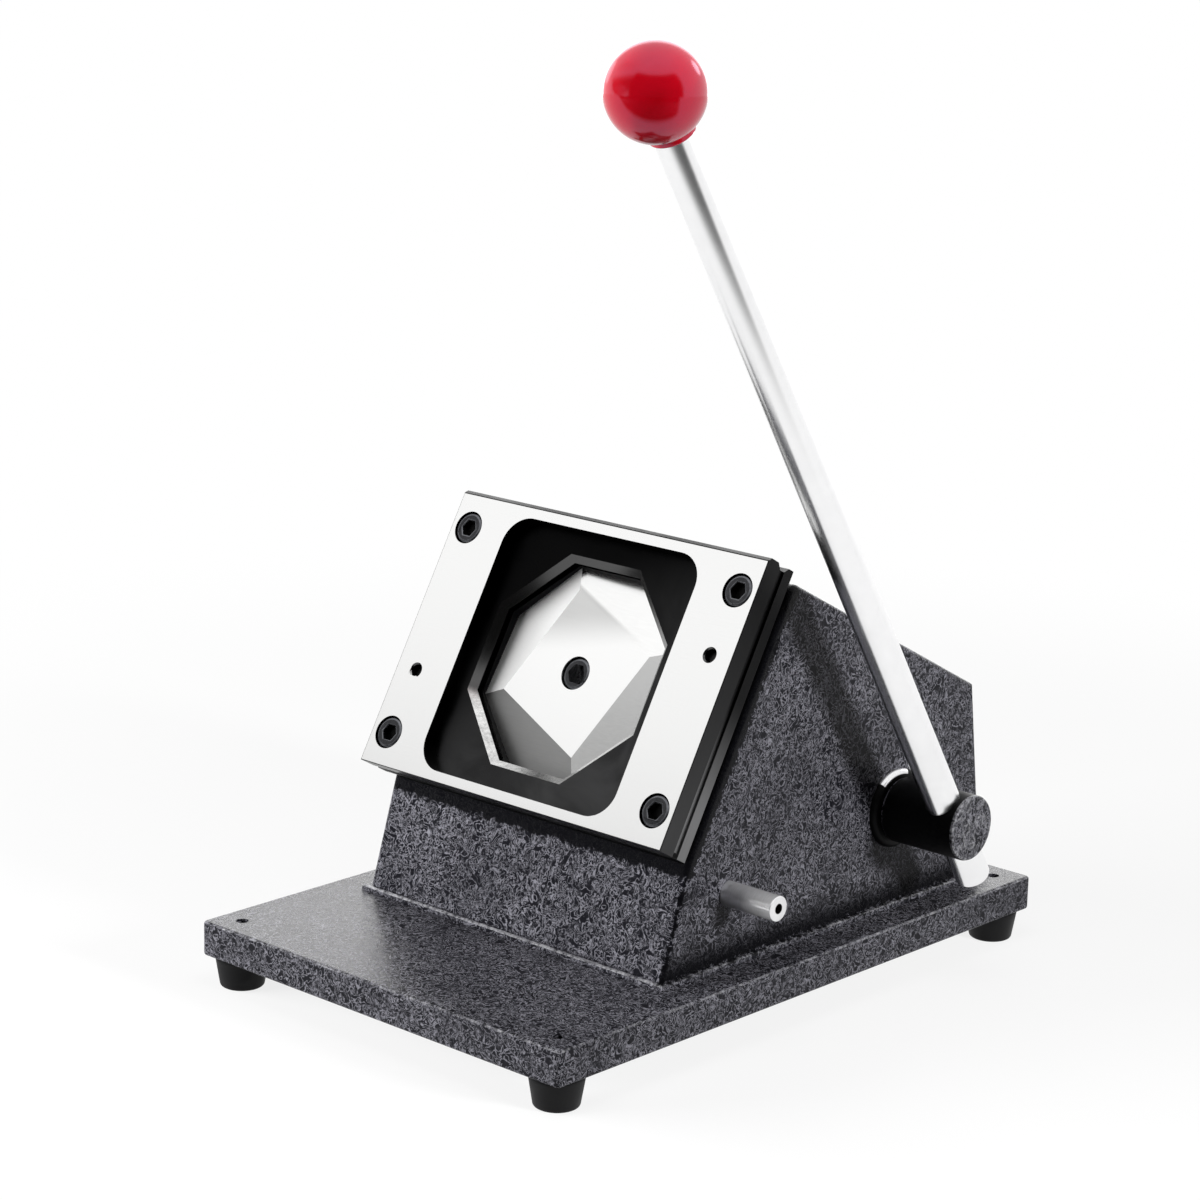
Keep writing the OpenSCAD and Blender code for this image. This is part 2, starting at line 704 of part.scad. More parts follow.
// Space of a key that lies half in the shaft, above its axis
module key_room(length) {
    translate([-key_w / 2, shaft_r - key_w / 2, 0]) cube([key_w, key_w, length]);
}

module shaft_keys() {
    color(bright_steel) for (k = [[hub_x + edge, key_l], [-cam_w / 2, cam_w]]) on_shaft(k[0])
        translate([-key_w / 2 + seat_gap, shaft_r - key_w / 2 + seat_gap, seat_gap])
            cube([key_w - 2 * seat_gap, key_w - 2 * seat_gap, k[1] - 2 * seat_gap]);
}

module eccentric_cam() {
    color(bright_steel) difference() {
        translate([0, cam_y, cam_z]) on_shaft(-cam_w / 2) bar(cam_r, cam_w, edge);
        on_shaft(-cam_w / 2 - past) cylinder(r = shaft_r + seat_gap, h = cam_w + 2 * past);
        on_shaft(-cam_w / 2 - past) key_room(cam_w + 2 * past);
        cam_grub_place() grub_hole(cam_r + throw);
    }
}

// Places of the grub screws: Z runs outwards from the shaft's or the rod's surface
module cam_grub_place() {
    translate([0, shaft.x, shaft.y]) rotate([cam_turn - 90, 0, 0]) rotate([-45, 0, 0])
        translate([0, 0, shaft_r + seat_gap]) children();
}

module hub_grub_place() {
    translate([hub_x + edge + key_l / 2, shaft.x, shaft.y]) rotate([lever_lean - 90, 0, 0])
        translate([0, 0, shaft_r + seat_gap]) children();
}

module rod_grub_place() {
    on_lever() rotate([-90, 0, 0]) translate([0, 0, rod_d / 2 + seat_gap]) children();
}

// Hole that breaks into the bore below it
module grub_hole(l) {
    translate([0, 0, -2 * past]) cylinder(r = grub_d / 2 + seat_gap, h = l + 2 * past);
}

module grub(l) {
    translate([0, 0, seat_gap]) difference() {
        cylinder(d = grub_d, h = l);
        translate([0, 0, l - grub_hex_depth])
            cylinder(d = grub_hex_w / cos(30), h = grub_hex_depth + past, $fn = 6);
    }
}

module set_screws() {
    color(black_steel) {
        cam_grub_place() grub(grub_l);
        hub_grub_place() grub(hub_d / 2 - shaft_r - edge / 2);
        rod_grub_place() grub(grub_l);
    }
}

module lever_hub() {
    color(paint) difference() {
        on_shaft(hub_x) bar(hub_d / 2, hub_l, hub_chamfer);
        on_shaft(hub_x - past) cylinder(r = shaft_r + seat_gap, h = hub_bore_end - hub_x + past);
        on_shaft(hub_x - past) key_room(key_l + edge + past);
        on_lever() cylinder(r = rod_d / 2 + seat_gap, h = hub_d + 2 * past, center = true);
        hub_grub_place() grub_hole(hub_d);
        rod_grub_place() grub_hole(hub_d);
    }
}

module lever_rod() {
    shoulder = lever_l - neck_drop;
    color(bright_steel) on_lever() {
        translate([0, 0, -rod_tail]) bar(rod_d / 2, rod_tail + shoulder, edge);
        translate([0, 0, shoulder - edge]) cylinder(d = stud_d, h = stud_l + edge);
    }
}

module ball_knob() {
    color([0.62, 0.02, 0.06]) on_lever() translate([0, 0, lever_l]) difference() {
        union() {
            sphere(d = ball_d);
            translate([0, 0, -neck_drop]) cylinder(d = neck_d, h = neck_drop);
        }
        translate([0, 0, -neck_drop - past]) cylinder(r = stud_d / 2 + seat_gap, h = stud_l + edge + past);
        translate([0, 0, -neck_drop - ball_d]) cylinder(d = ball_d, h = ball_d);
    }
}

module shaft_ring() {
    color(bright_steel) on_shaft(-ring_x - ring_t) difference() {
        cylinder(d = ring_d, h = ring_t);
        translate([0, 0, -past]) cylinder(r = shaft_r - ring_depth + seat_gap, h = ring_t + 2 * past);
        translate([-ring_mouth / 2, -ring_d, -past]) cube([ring_mouth, ring_d, ring_t + 2 * past]);
    }
}

module ram() {
    color(bright_steel) on_punch_axis(0) difference() {
        union() {
            translate([0, 0, punch_back]) cylinder(d = stem_d, h = stem_l + edge);
            translate([0, 0, ram_head_d0]) cylinder(d = ram_head_d, h = follower_face - ram_head_d0 - edge);
        }
        translate([0, 0, follower_face - follower_t])
            cylinder(r = follower_d / 2 + seat_gap, h = follower_t);
        translate([0, 0, punch_back - past])
            cylinder(r = punch_screw_d / 2 + seat_gap, h = punch_screw_reach + 2 * past);
        for (side = [-1, 1]) translate([side * punch_dowel_x, 0, punch_back - past])
            cylinder(r = punch_dowel_d / 2 + seat_gap, h = punch_dowel_depth + seat_gap + past);
    }
}

module follower_pad() {
    color(bright_steel) on_punch_axis(follower_face - follower_t) bar(follower_d / 2, follower_t, edge / 2);
}

// Octagon with a raised square in its middle and four facets that fall away from the square
module punch() {
    side_r = square_r * cos(45);
    color(ground_steel) on_punch_axis(punch_depth) difference() {
        octagon_taper(octagon_w - 2 * punch_gap, octagon_w - 2 * punch_gap, punch_l);
        for (k = [0:3]) rotate(22.5 + 90 * k) translate([side_r, 0, 0]) rotate([0, -facet_fall, 0])
            translate([0, -octagon_w, -octagon_w]) cube([octagon_w, 2 * octagon_w, octagon_w]);
        translate([0, 0, -past])
            cylinder(r = punch_head_d / 2 + bolt_gap, h = punch_head_h + 2 * bolt_gap + past);
        translate([0, 0, -past]) cylinder(r = punch_screw_d / 2 + bolt_gap, h = punch_l + 2 * past);
        for (side = [-1, 1]) translate([side * punch_dowel_x, 0, punch_l - punch_dowel_depth - seat_gap])
            cylinder(r = punch_dowel_d / 2 + seat_gap, h = punch_dowel_depth + past);
    }
}

module punch_screw() {
    color(black_steel) on_punch_axis(punch_depth + 2 * bolt_gap) rotate([180, 0, 0])
        cap_screw(punch_screw_d, punch_l - punch_head_h - 2 * bolt_gap + punch_screw_reach,
                  punch_head_d, punch_head_h, cap_hex_w);
}

module punch_dowels() {
    color(bright_steel) on_punch_axis(punch_back - punch_dowel_depth) for (side = [-1, 1])
        translate([side * punch_dowel_x, 0, 0]) bar(punch_dowel_d / 2, 2 * punch_dowel_depth, edge / 2);
}

base_plate();
body_casting();
body_bolts();
rubber_feet();
foot_washers();
foot_screws();
die_block();
slot_spacers();
guide_plate();
die_screws();
dowel_pins();
shaft_bush_right();
shaft_bush_left();
ram_bush();
return_spring();
stop_pin();
cross_shaft();
lever_hub();
eccentric_cam();
shaft_keys();
set_screws();
lever_rod();
ball_knob();
shaft_ring();
ram();
follower_pad();
punch();
punch_screw();
punch_dowels();
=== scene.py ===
# A bench die cutter with a hand lever: painted base and casting, ground steel die, red ball.
import json
import math

import bpy
from mathutils import Matrix, Vector


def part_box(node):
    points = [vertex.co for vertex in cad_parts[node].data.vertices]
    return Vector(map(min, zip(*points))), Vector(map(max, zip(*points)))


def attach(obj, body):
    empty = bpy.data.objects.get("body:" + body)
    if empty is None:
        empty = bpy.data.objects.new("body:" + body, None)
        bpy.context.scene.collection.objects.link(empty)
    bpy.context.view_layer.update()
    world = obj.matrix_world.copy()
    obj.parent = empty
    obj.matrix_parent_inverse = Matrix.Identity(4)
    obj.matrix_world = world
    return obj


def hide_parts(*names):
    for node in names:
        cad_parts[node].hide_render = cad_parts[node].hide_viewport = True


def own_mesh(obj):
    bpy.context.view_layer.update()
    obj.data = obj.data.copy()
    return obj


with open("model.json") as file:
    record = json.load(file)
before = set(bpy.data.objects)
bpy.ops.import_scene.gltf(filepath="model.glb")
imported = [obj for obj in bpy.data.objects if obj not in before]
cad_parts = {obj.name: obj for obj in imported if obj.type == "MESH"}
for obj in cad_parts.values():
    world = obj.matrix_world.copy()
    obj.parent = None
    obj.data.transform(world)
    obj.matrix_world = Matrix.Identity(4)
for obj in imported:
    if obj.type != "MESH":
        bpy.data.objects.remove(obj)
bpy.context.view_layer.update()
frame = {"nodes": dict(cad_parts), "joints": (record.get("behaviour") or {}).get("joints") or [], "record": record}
scene = bpy.context.scene
scene.view_settings.view_transform = "Standard"


# Camera
# A long lens from the front right, a little above the die, with a slight roll.
# The picture is square, so the sensor's width sets the frame.
camera_place = Vector((0.8419, -0.9398, 0.4336))
camera_azimuth = math.radians(42.49)
camera_elevation = math.radians(13.90)
camera_roll = math.radians(1.36)
camera_lens_mm = 100.4
camera_sensor_mm = 36

bpy.ops.object.camera_add()
camera = bpy.context.object
camera.name = "camera"
camera.data.lens = camera_lens_mm
camera.data.sensor_width = camera_sensor_mm
turn = Matrix.Rotation(camera_azimuth, 4, "Z")
tilt = Matrix.Rotation(math.pi / 2 - camera_elevation, 4, "X")
roll = Matrix.Rotation(camera_roll, 4, "Z")
camera.matrix_world = Matrix.Translation(camera_place) @ turn @ tilt @ roll
scene.camera = camera


# Studio light
# A large soft panel at the front left, a small one on the right and one above light a white
# room. Metal mirrors that room, its windows, and the dark part behind the camera.
room_light = 0.06
room_white = 1.0
room_dark = 0.04
mirrored_white = 1.30
panel_specs = {
    "front_panel": {"place": (-1.20, -1.15, 0.36), "size": (1.5, 0.5), "watts": 68.0},
    "right_panel": {"place": (1.30, 0.15, 0.45), "size": (0.22, 0.22), "watts": 18.0},
    "top_panel": {"place": (0.106, -0.115, 0.62), "size": (0.3, 0.3), "watts": 1.0},
}
panel_target = Vector((0.0, -0.03, 0.10))
camera_side = (0.676, -0.737, 0.0)
upwards = (0.0, 0.0, 1.0)
front_left_side = (-0.66, -0.68, 0.36)
front_wall_rise = (-0.317, 0.284, 1.03)
front_wall_tones = ((0.24, 0.10), (0.30, 0.20), (0.375, 0.33), (0.45, 0.76), (0.52, 1.0), (0.60, 0.95),
                    (0.74, 0.84))
front_wall_edge = (0.84, 0.93)
dark_side_edge = (0.40, 0.52)
dark_top_edge = (0.70, 0.60)
windows = {
    "back_left": {"side": (-0.66, 0.72, 0.22), "edge": (0.80, 0.94), "glow": 4.2},
    "back": {"side": (0.141, 0.910, 0.390), "edge": (0.986, 0.994), "glow": 5.5},
    "left": {"side": (-0.973, 0.103, 0.199), "edge": (0.978, 0.990), "glow": 2.6},
}


def feed(node, inputs):
    """Gives a node's inputs, by name or number, a value, a socket or another node's output."""
    for name, source in inputs.items():
        if isinstance(source, bpy.types.Node):
            source = next(socket for socket in source.outputs if socket.enabled)
        if isinstance(source, bpy.types.NodeSocket):
            node.id_data.links.new(source, node.inputs[name])
        else:
            node.inputs[name].default_value = source


def new_node(tree, kind, inputs=None, **options):
    """A shader node with its inputs and its options."""
    node = tree.nodes.new("ShaderNode" + kind)
    for name, value in options.items():
        setattr(node, name, value)
    feed(node, inputs or {})
    return node


def maths(tree, operation, first, second):
    """Two numbers put together, such as their product or the greater one."""
    return new_node(tree, "Math", {0: first, 1: second}, operation=operation)


def mix(tree, kind, share, first, second):
    """The first number or colour where the share is 0, and the second where it is 1."""
    return new_node(tree, "Mix", {"Factor": share, "A": first, "B": second}, data_type=kind)


def along(tree, source, direction):
    """How far a point or ray goes along a direction."""
    return new_node(tree, "VectorMath", {0: source, 1: direction}, operation="DOT_PRODUCT")


def soft_step(tree, source, low, high):
    """Goes smoothly from 0 where the source is at the low value to 1 at the high one."""
    return new_node(tree, "MapRange", {"Value": source, "From Min": low, "From Max": high},
                    interpolation_type="SMOOTHSTEP")


for name, spec in panel_specs.items():
    bpy.ops.object.light_add(type="AREA", location=spec["place"])
    panel = bpy.context.object
    panel.name = name
    panel.data.shape = "RECTANGLE"
    panel.data.size, panel.data.size_y = spec["size"]
    panel.data.energy = spec["watts"]
    panel.visible_glossy = False
    aim = panel_target - Vector(spec["place"])
    panel.rotation_euler = aim.to_track_quat("-Z", "Y").to_euler()

scene.world = bpy.data.worlds.new("studio")
scene.world.use_nodes = True
tree = scene.world.node_tree
tree.nodes.clear()
ray = new_node(tree, "TexCoord").outputs["Generated"]
seen = new_node(tree, "LightPath").outputs
front_wall = new_node(tree, "ValToRGB", {"Fac": along(tree, ray, front_wall_rise)})
tones = front_wall.color_ramp.elements
for count, (rise, tone) in enumerate(front_wall_tones):
    mark = tones[count] if count < len(tones) else tones.new(rise)
    mark.position = rise
    mark.color = (tone, tone, tone, 1)
in_front = soft_step(tree, along(tree, ray, front_left_side), *front_wall_edge)
walls = mix(tree, "FLOAT", in_front, mirrored_white, maths(tree, "MULTIPLY", front_wall, mirrored_white))
for window in windows.values():
    opening = soft_step(tree, along(tree, ray, window["side"]), *window["edge"])
    walls = mix(tree, "FLOAT", opening, walls, window["glow"])
dark_part = maths(tree, "MULTIPLY", soft_step(tree, along(tree, ray, camera_side), *dark_side_edge),
                  soft_step(tree, along(tree, ray, upwards), *dark_top_edge))
mirrored = mix(tree, "FLOAT", dark_part, walls, room_dark)
for_metal = mix(tree, "FLOAT", seen["Is Glossy Ray"], room_light, mirrored)
plain_view = maths(tree, "MAXIMUM", seen["Is Camera Ray"], seen["Is Transmission Ray"])
for_camera = mix(tree, "FLOAT", plain_view, for_metal, room_white)
background = new_node(tree, "Background", {"Color": (1, 1, 1, 1), "Strength": for_camera})
new_node(tree, "OutputWorld", {"Surface": background})


# Floor
# A pale table under the rubber feet. It takes the soft shadow and fades to white further out,
# where the room's white meets it. Metal mirrors it dark on the camera's side.
floor_radius = 3.0
floor_fade = (0.28, 0.75)
floor_dark_start = (0.28, 0.42)
floor_dark_side = (-0.142, 1.634, 0.0)
floor_dark_edge = (0.0, -0.2)
floor_colour = (0.17, 0.17, 0.17, 1.0)
floor_dark_colour = (0.045, 0.045, 0.045, 1.0)
floor_lift = 0.82

floor_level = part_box("rubber_feet")[0].z
bpy.ops.mesh.primitive_circle_add(vertices=96, radius=floor_radius, fill_type="NGON",
                                  location=(0, 0, floor_level))
floor = bpy.context.object
floor.name = "floor"
bpy.ops.object.transform_apply()
table = bpy.data.materials.new("table")
table.use_nodes = True
tree = table.node_tree
tree.nodes.clear()
spot = new_node(tree, "TexCoord").outputs["Object"]
seen = new_node(tree, "LightPath").outputs
far = new_node(tree, "VectorMath", {0: spot}, operation="LENGTH")
dark_part = maths(tree, "MULTIPLY", soft_step(tree, along(tree, spot, camera_side), *floor_dark_start),
                  soft_step(tree, along(tree, spot, floor_dark_side), *floor_dark_edge))
dark_in_metal = maths(tree, "MULTIPLY", dark_part, seen["Is Glossy Ray"])
pale_in_metal = maths(tree, "SUBTRACT", seen["Is Glossy Ray"], dark_in_metal)
plain_view = maths(tree, "MAXIMUM", seen["Is Camera Ray"], seen["Is Transmission Ray"])
any_view = maths(tree, "MAXIMUM", plain_view, pale_in_metal)
colour = mix(tree, "RGBA", dark_in_metal, floor_colour, floor_dark_colour)
matt = new_node(tree, "BsdfDiffuse", {"Color": colour})
lift = new_node(tree, "Emission", {"Strength": maths(tree, "MULTIPLY", any_view, floor_lift)})
lifted = new_node(tree, "AddShader", {0: matt, 1: lift})
white = new_node(tree, "Emission", {"Strength": room_white})
faded = maths(tree, "MULTIPLY", soft_step(tree, far, *floor_fade), any_view)
surface = new_node(tree, "MixShader", {"Fac": faded, 1: lifted, 2: white})
new_node(tree, "OutputMaterial", {"Surface": surface})
floor.data.materials.append(table)


# Base plate
# A flat steel plate with four small corner holes, painted charcoal hammertone.
# The paint rounds its edges. It is sawn from plate, drilled from both sides and sprayed.
base_corner_r = 0.002
base_edge_r = 0.0012
paint_skin = 0.00002
paint_dark = (0.007, 0.007, 0.0095, 1.0)
paint_light = (0.245, 0.242, 0.276, 1.0)
paint_wear_and_sheen = (0.36, 0.36, 0.38, 1.0)
paint_ridges = ((215, 0.060), (330, 0.070))
paint_flow = 2.2
paint_patch_scale = 170
paint_patch_edge = (0.38, 0.62)
paint_cloud_scale = 26
paint_cloud_edge = (0.3, 0.7)
paint_cloud_least = 0.55
paint_gloss = (0.20, 0.34)
paint_specular = 0.08
paint_depth = 0.0002
# Paint lightened at edges, along the lip and on the hub's end: rubbed wear and a painted highlight.
wear_sheen_mark_scale = 620
wear_sheen_patch_scale = 130
wear_sheen_patch_share = 0.3
wear_sheen_edge = (-0.12, 0.20)
base_edge_wear_and_sheen = 0.46
smooth_angle = math.radians(32)
merge_reach = 1e-6
merge_angle = math.radians(0.2)


def clear_selection():
    """Leaves edit mode and deselects every object."""
    if bpy.context.object and bpy.context.object.mode != "OBJECT":
        bpy.ops.object.mode_set(mode="OBJECT")
    bpy.ops.object.select_all(action="DESELECT")


def activate(piece):
    """Makes the piece the only selected object."""
    clear_selection()
    piece.select_set(True)
    bpy.context.view_layer.objects.active = piece


def pick_edges(piece, test):
    """Selects in edit mode the edges whose two ends pass the test."""
    activate(piece)
    bpy.ops.object.mode_set(mode="EDIT")
    bpy.ops.mesh.select_mode(type="EDGE")
    bpy.ops.mesh.select_all(action="DESELECT")
    bpy.ops.object.mode_set(mode="OBJECT")
    points = piece.data.vertices
    for edge in piece.data.edges:
        edge.select = test(*[points[i].co for i in edge.vertices])
    bpy.ops.object.mode_set(mode="EDIT")


def bevel_edges(piece, test, size, steps):
    """Bevels the edges whose two ends pass the test."""
    pick_edges(piece, test)
    bpy.ops.mesh.bevel(offset=size, segments=steps, affect="EDGES")
    bpy.ops.object.mode_set(mode="OBJECT")


def pick_faces(piece, test):
    """Selects in edit mode the faces whose centre and normal pass the test."""
    activate(piece)
    bpy.ops.object.mode_set(mode="EDIT")
    bpy.ops.mesh.select_mode(type="FACE")
    bpy.ops.mesh.select_all(action="DESELECT")
    bpy.ops.object.mode_set(mode="OBJECT")
    for face in piece.data.polygons:
        face.select = test(face.center, face.normal)
    bpy.ops.object.mode_set(mode="EDIT")


def close_to(a, b, reach=1e-5):
    """Whether two lengths agree within a reach."""
    return abs(a - b) < reach


def block(name, low, high):
    """A new box between two corners, with its place in its mesh."""
    clear_selection()
    bpy.ops.mesh.primitive_cube_add(size=1, location=(low + high) / 2, scale=high - low)
    piece = bpy.context.object
    piece.name = name
    bpy.ops.object.transform_apply()
    return piece


def merged_copy(node, name):
    """A new piece with a node's shape, its loose triangles merged into whole faces."""
    clear_selection()
    piece = bpy.data.objects.new(name, frame["nodes"][node].data.copy())
    scene.collection.objects.link(piece)
    piece.data.materials.clear()
    activate(piece)
    bpy.ops.mesh.customdata_custom_splitnormals_clear()
    bpy.ops.object.mode_set(mode="EDIT")
    bpy.ops.mesh.select_all(action="SELECT")
    bpy.ops.mesh.remove_doubles(threshold=merge_reach)
    bpy.ops.mesh.dissolve_limited(angle_limit=merge_angle)
    bpy.ops.object.mode_set(mode="OBJECT")
    return piece


def carve(piece, tool, operation):
    """Cuts, joins or trims the piece with another one, which is used up."""
    activate(piece)
    change = piece.modifiers.new("carve", "BOOLEAN")
    change.operation = operation
    change.solver = "EXACT"
    change.object = tool
    bpy.ops.object.modifier_apply(modifier=change.name)
    bpy.data.objects.remove(tool)


def soften(piece):
    """Smooth shading that keeps the piece's sharp edges and its flat faces flat."""
    activate(piece)
    bpy.ops.object.shade_smooth_by_angle(angle=smooth_angle)
    flat = piece.modifiers.new("flat", "WEIGHTED_NORMAL")
    flat.keep_sharp = True
    flat.weight = 100
    bpy.ops.object.modifier_apply(modifier=flat.name)


def dress(piece, material, body, slot, *nodes):
    """Gives a finished piece its material, its body and the nodes that it stands for."""
    if material:
        piece.data.materials.append(material)
    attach(piece, body)
    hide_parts(*nodes)


def new_material(name, roughness, metallic=0.0):
    """A material, its node tree and its shader."""
    material = bpy.data.materials.new(name)
    material.use_nodes = True
    shader = material.node_tree.nodes["Principled BSDF"]
    feed(shader, {"Roughness": roughness, "Metallic": metallic})
    return material, material.node_tree, shader


def mark_wear_and_sheen(piece, amount):
    """Notes on each face how much wear and painted highlight lighten its paint, by centre and normal."""
    note = piece.data.attributes.new("wear_and_sheen", "FLOAT", "FACE")
    for face in piece.data.polygons:
        note.data[face.index].value = amount(face.center, face.normal)


def noise(tree, spot, scale, **settings):
    """A noise texture of that scale."""
    return new_node(tree, "TexNoise", {"Vector": spot, "Scale": scale, **settings})


def between(tree, share, low, high):
    """The low value where the share is 0, and the high one where it is 1."""
    return new_node(tree, "MapRange", {"Value": share, "To Min": low, "To Max": high})


hammertone, tree, shader = new_material("hammertone_paint", roughness=0.26)
spot = new_node(tree, "TexCoord").outputs["Object"]
ridges = []
for size, width in paint_ridges:
    centred = maths(tree, "SUBTRACT", noise(tree, spot, size, Detail=2.0, Distortion=paint_flow), 0.5)
    away = new_node(tree, "Math", {0: centred}, operation="ABSOLUTE")
    ridge = soft_step(tree, away, 0.0, width)
    feed(ridge, {"To Min": 1.0, "To Max": 0.0})
    ridges.append(ridge)
patch_share = soft_step(tree, noise(tree, spot, paint_patch_scale, Detail=2.0), *paint_patch_edge)
cloud_share = between(tree, noise(tree, spot, paint_cloud_scale, Detail=3.0), paint_cloud_least, 1.0)
feed(cloud_share, {"From Min": paint_cloud_edge[0], "From Max": paint_cloud_edge[1]})
flecks = maths(tree, "MULTIPLY", mix(tree, "FLOAT", patch_share, *ridges), cloud_share)
tone = mix(tree, "RGBA", flecks, paint_dark, paint_light)
# Lighter paint where a face notes it: rubbed wear, and a painted highlight on edges and the lip.
wear_and_sheen = new_node(tree, "Attribute", attribute_name="wear_and_sheen").outputs["Fac"]
wear_sheen_breakup = mix(tree, "FLOAT", wear_sheen_patch_share, noise(tree, spot, wear_sheen_mark_scale, Detail=3.0, Roughness=0.7),
           noise(tree, spot, wear_sheen_patch_scale, Detail=2.0))
wear_sheen_share = soft_step(tree, maths(tree, "SUBTRACT", wear_and_sheen, wear_sheen_breakup), *wear_sheen_edge)
raised = new_node(tree, "Bump", {"Strength": 0.5, "Distance": paint_depth, "Height": flecks})
feed(shader, {"Base Color": mix(tree, "RGBA", wear_sheen_share, tone, paint_wear_and_sheen), "Normal": raised,
              "Roughness": between(tree, flecks, *paint_gloss), "Specular IOR Level": paint_specular})

base_low, base_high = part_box("base_plate")
skin = Vector((paint_skin, paint_skin, paint_skin))
base_plate = block("painted_base", base_low + skin, base_high - skin)
bevel_edges(base_plate, lambda a, b: close_to(a.x, b.x) and close_to(a.y, b.y), base_corner_r, 8)
bevel_edges(base_plate, lambda a, b: close_to(a.z, b.z), base_edge_r, 4)
carve(base_plate, merged_copy("base_plate", "base_holes"), "INTERSECT")
# The bevelled top edges are lightened: wear and a painted highlight line.
mark_wear_and_sheen(base_plate, lambda centre, normal: base_edge_wear_and_sheen if 0.3 < normal.z < 0.95 else 0.0)
soften(base_plate)
dress(base_plate, hammertone, "frame", "hammertone_paint", "base_plate")


# Rubber feet
# Four tapered feet of black rubber, moulded with a recess for the screw that holds each one
# under a corner hole.
foot_screw_recess_r = 0.0054
foot_recess_depth = 0.005
foot_round = 0.0012
foot_taper = 0.81
smear_edge = (0.32, 0.68)
square_on = 0.99


def new_group(name, inputs, outputs):
    """A node group, what it is given, by name and kind, and what it puts out."""
    group = bpy.data.node_groups.new(name, "ShaderNodeTree")
    for socket, kind in inputs.items():
        group.interface.new_socket(name=socket, in_out="INPUT", socket_type="NodeSocket" + kind)
    for socket in outputs:
        group.interface.new_socket(name=socket, in_out="OUTPUT", socket_type="NodeSocketFloat")
    return group, group.nodes.new("NodeGroupInput").outputs, group.nodes.new("NodeGroupOutput")


handling, given, result = new_group("Handling marks", {"Smear Scale": "Float", "Grain Scale": "Float"},
                                    ("Smears", "Grain"))
spot = new_node(handling, "TexCoord").outputs["Object"]
smears = noise(handling, spot, given["Smear Scale"], Detail=4.0, Distortion=0.8)
feed(result, {"Smears": soft_step(handling, smears, *smear_edge),
              "Grain": noise(handling, spot, given["Grain Scale"], Detail=3.0)})


def moulded(name, colours, roughness, smear_scale, grain_scale, grain_depth):
    """Moulded rubber or plastic: two colours and two gloss levels by smears, and a fine grain."""
    material, tree, shader = new_material(name, roughness[0])
    marks = new_node(tree, "Group", {"Smear Scale": smear_scale, "Grain Scale": grain_scale},
                     node_tree=handling).outputs
    raised = new_node(tree, "Bump", {"Strength": 0.25, "Distance": grain_depth, "Height": marks["Grain"]})
    feed(shader, {"Base Color": mix(tree, "RGBA", marks["Smears"], *colours),
                  "Roughness": between(tree, marks["Smears"], *roughness), "Normal": raised})
    return material, shader


rubber, shader = moulded("black_rubber", ((0.003, 0.003, 0.0033, 1), (0.009, 0.009, 0.0095, 1)),
                         roughness=(0.48, 0.72), smear_scale=70, grain_scale=900, grain_depth=0.0001)
feed(shader, {"Specular IOR Level": 0.2})

holes = frame["record"]["mounts"][0]["dims"]
hole_x, hole_y = holes["spacing_x_mm"] / 2000, holes["spacing_y_mm"] / 2000
feet_low, feet_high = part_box("rubber_feet")
foot_top_r = feet_high.x - hole_x
foot_h = feet_high.z - feet_low.z


def join(pieces, name):
    """One object from several."""
    clear_selection()
    for piece in pieces:
        piece.select_set(True)
    bpy.context.view_layer.objects.active = pieces[0]
    bpy.ops.object.join()
    pieces[0].name = name
    return pieces[0]


clear_selection()
bpy.ops.mesh.primitive_cone_add(vertices=64, radius1=foot_top_r * foot_taper, radius2=foot_top_r,
                                depth=foot_h, location=(hole_x, hole_y, (feet_low.z + feet_high.z) / 2))
foot = bpy.context.object
bpy.ops.object.transform_apply()
bevel_edges(foot, lambda a, b: close_to(a.z, b.z), foot_round, 4)
pick_faces(foot, lambda centre, normal: normal.z < -square_on)
bpy.ops.mesh.inset(thickness=foot_top_r * foot_taper - foot_round - foot_screw_recess_r)
bpy.ops.mesh.extrude_region_move(TRANSFORM_OT_translate={"value": (0, 0, foot_recess_depth)})
bpy.ops.object.mode_set(mode="OBJECT")
feet = [foot]
for x, y in ((-1, 1), (-1, -1), (1, -1)):
    other = foot.copy()
    other.data = foot.data.copy()
    other.data.transform(Matrix.Translation(((x - 1) * hole_x, (y - 1) * hole_y, 0)))
    scene.collection.objects.link(other)
    feet.append(other)
moulded_feet = join(feet, "moulded_feet")
soften(moulded_feet)
dress(moulded_feet, rubber, "frame", "black_rubber", "rubber_feet")


# Screws and washers under the base
# Zinc plated pan head screws and washers hold the feet. Four black socket screws in deep
# counterbores hold the casting.
tool_mark_depth = 0.00003

scratches, given, result = new_group(
    "Fine scratches", {"Line Scale": "Vector", "Line Turn": "Vector", "Stain Scale": "Float"},
    ("Marks", "Lines"))
spot = new_node(scratches, "TexCoord").outputs["Object"]
drawn = new_node(scratches, "Mapping", {"Vector": spot, "Rotation": given["Line Turn"]},
                 vector_type="TEXTURE")
stretched = new_node(scratches, "VectorMath", {0: drawn, 1: given["Line Scale"]}, operation="MULTIPLY")
lines = noise(scratches, stretched, 1.0, Detail=3.0, Roughness=0.7)
both = mix(scratches, "FLOAT", 0.45, lines, noise(scratches, spot, given["Stain Scale"], Detail=4.0))
both_share = new_node(scratches, "MapRange", {"Value": both, "From Min": 0.3, "From Max": 0.7})
feed(result, {"Marks": both_share, "Lines": lines})


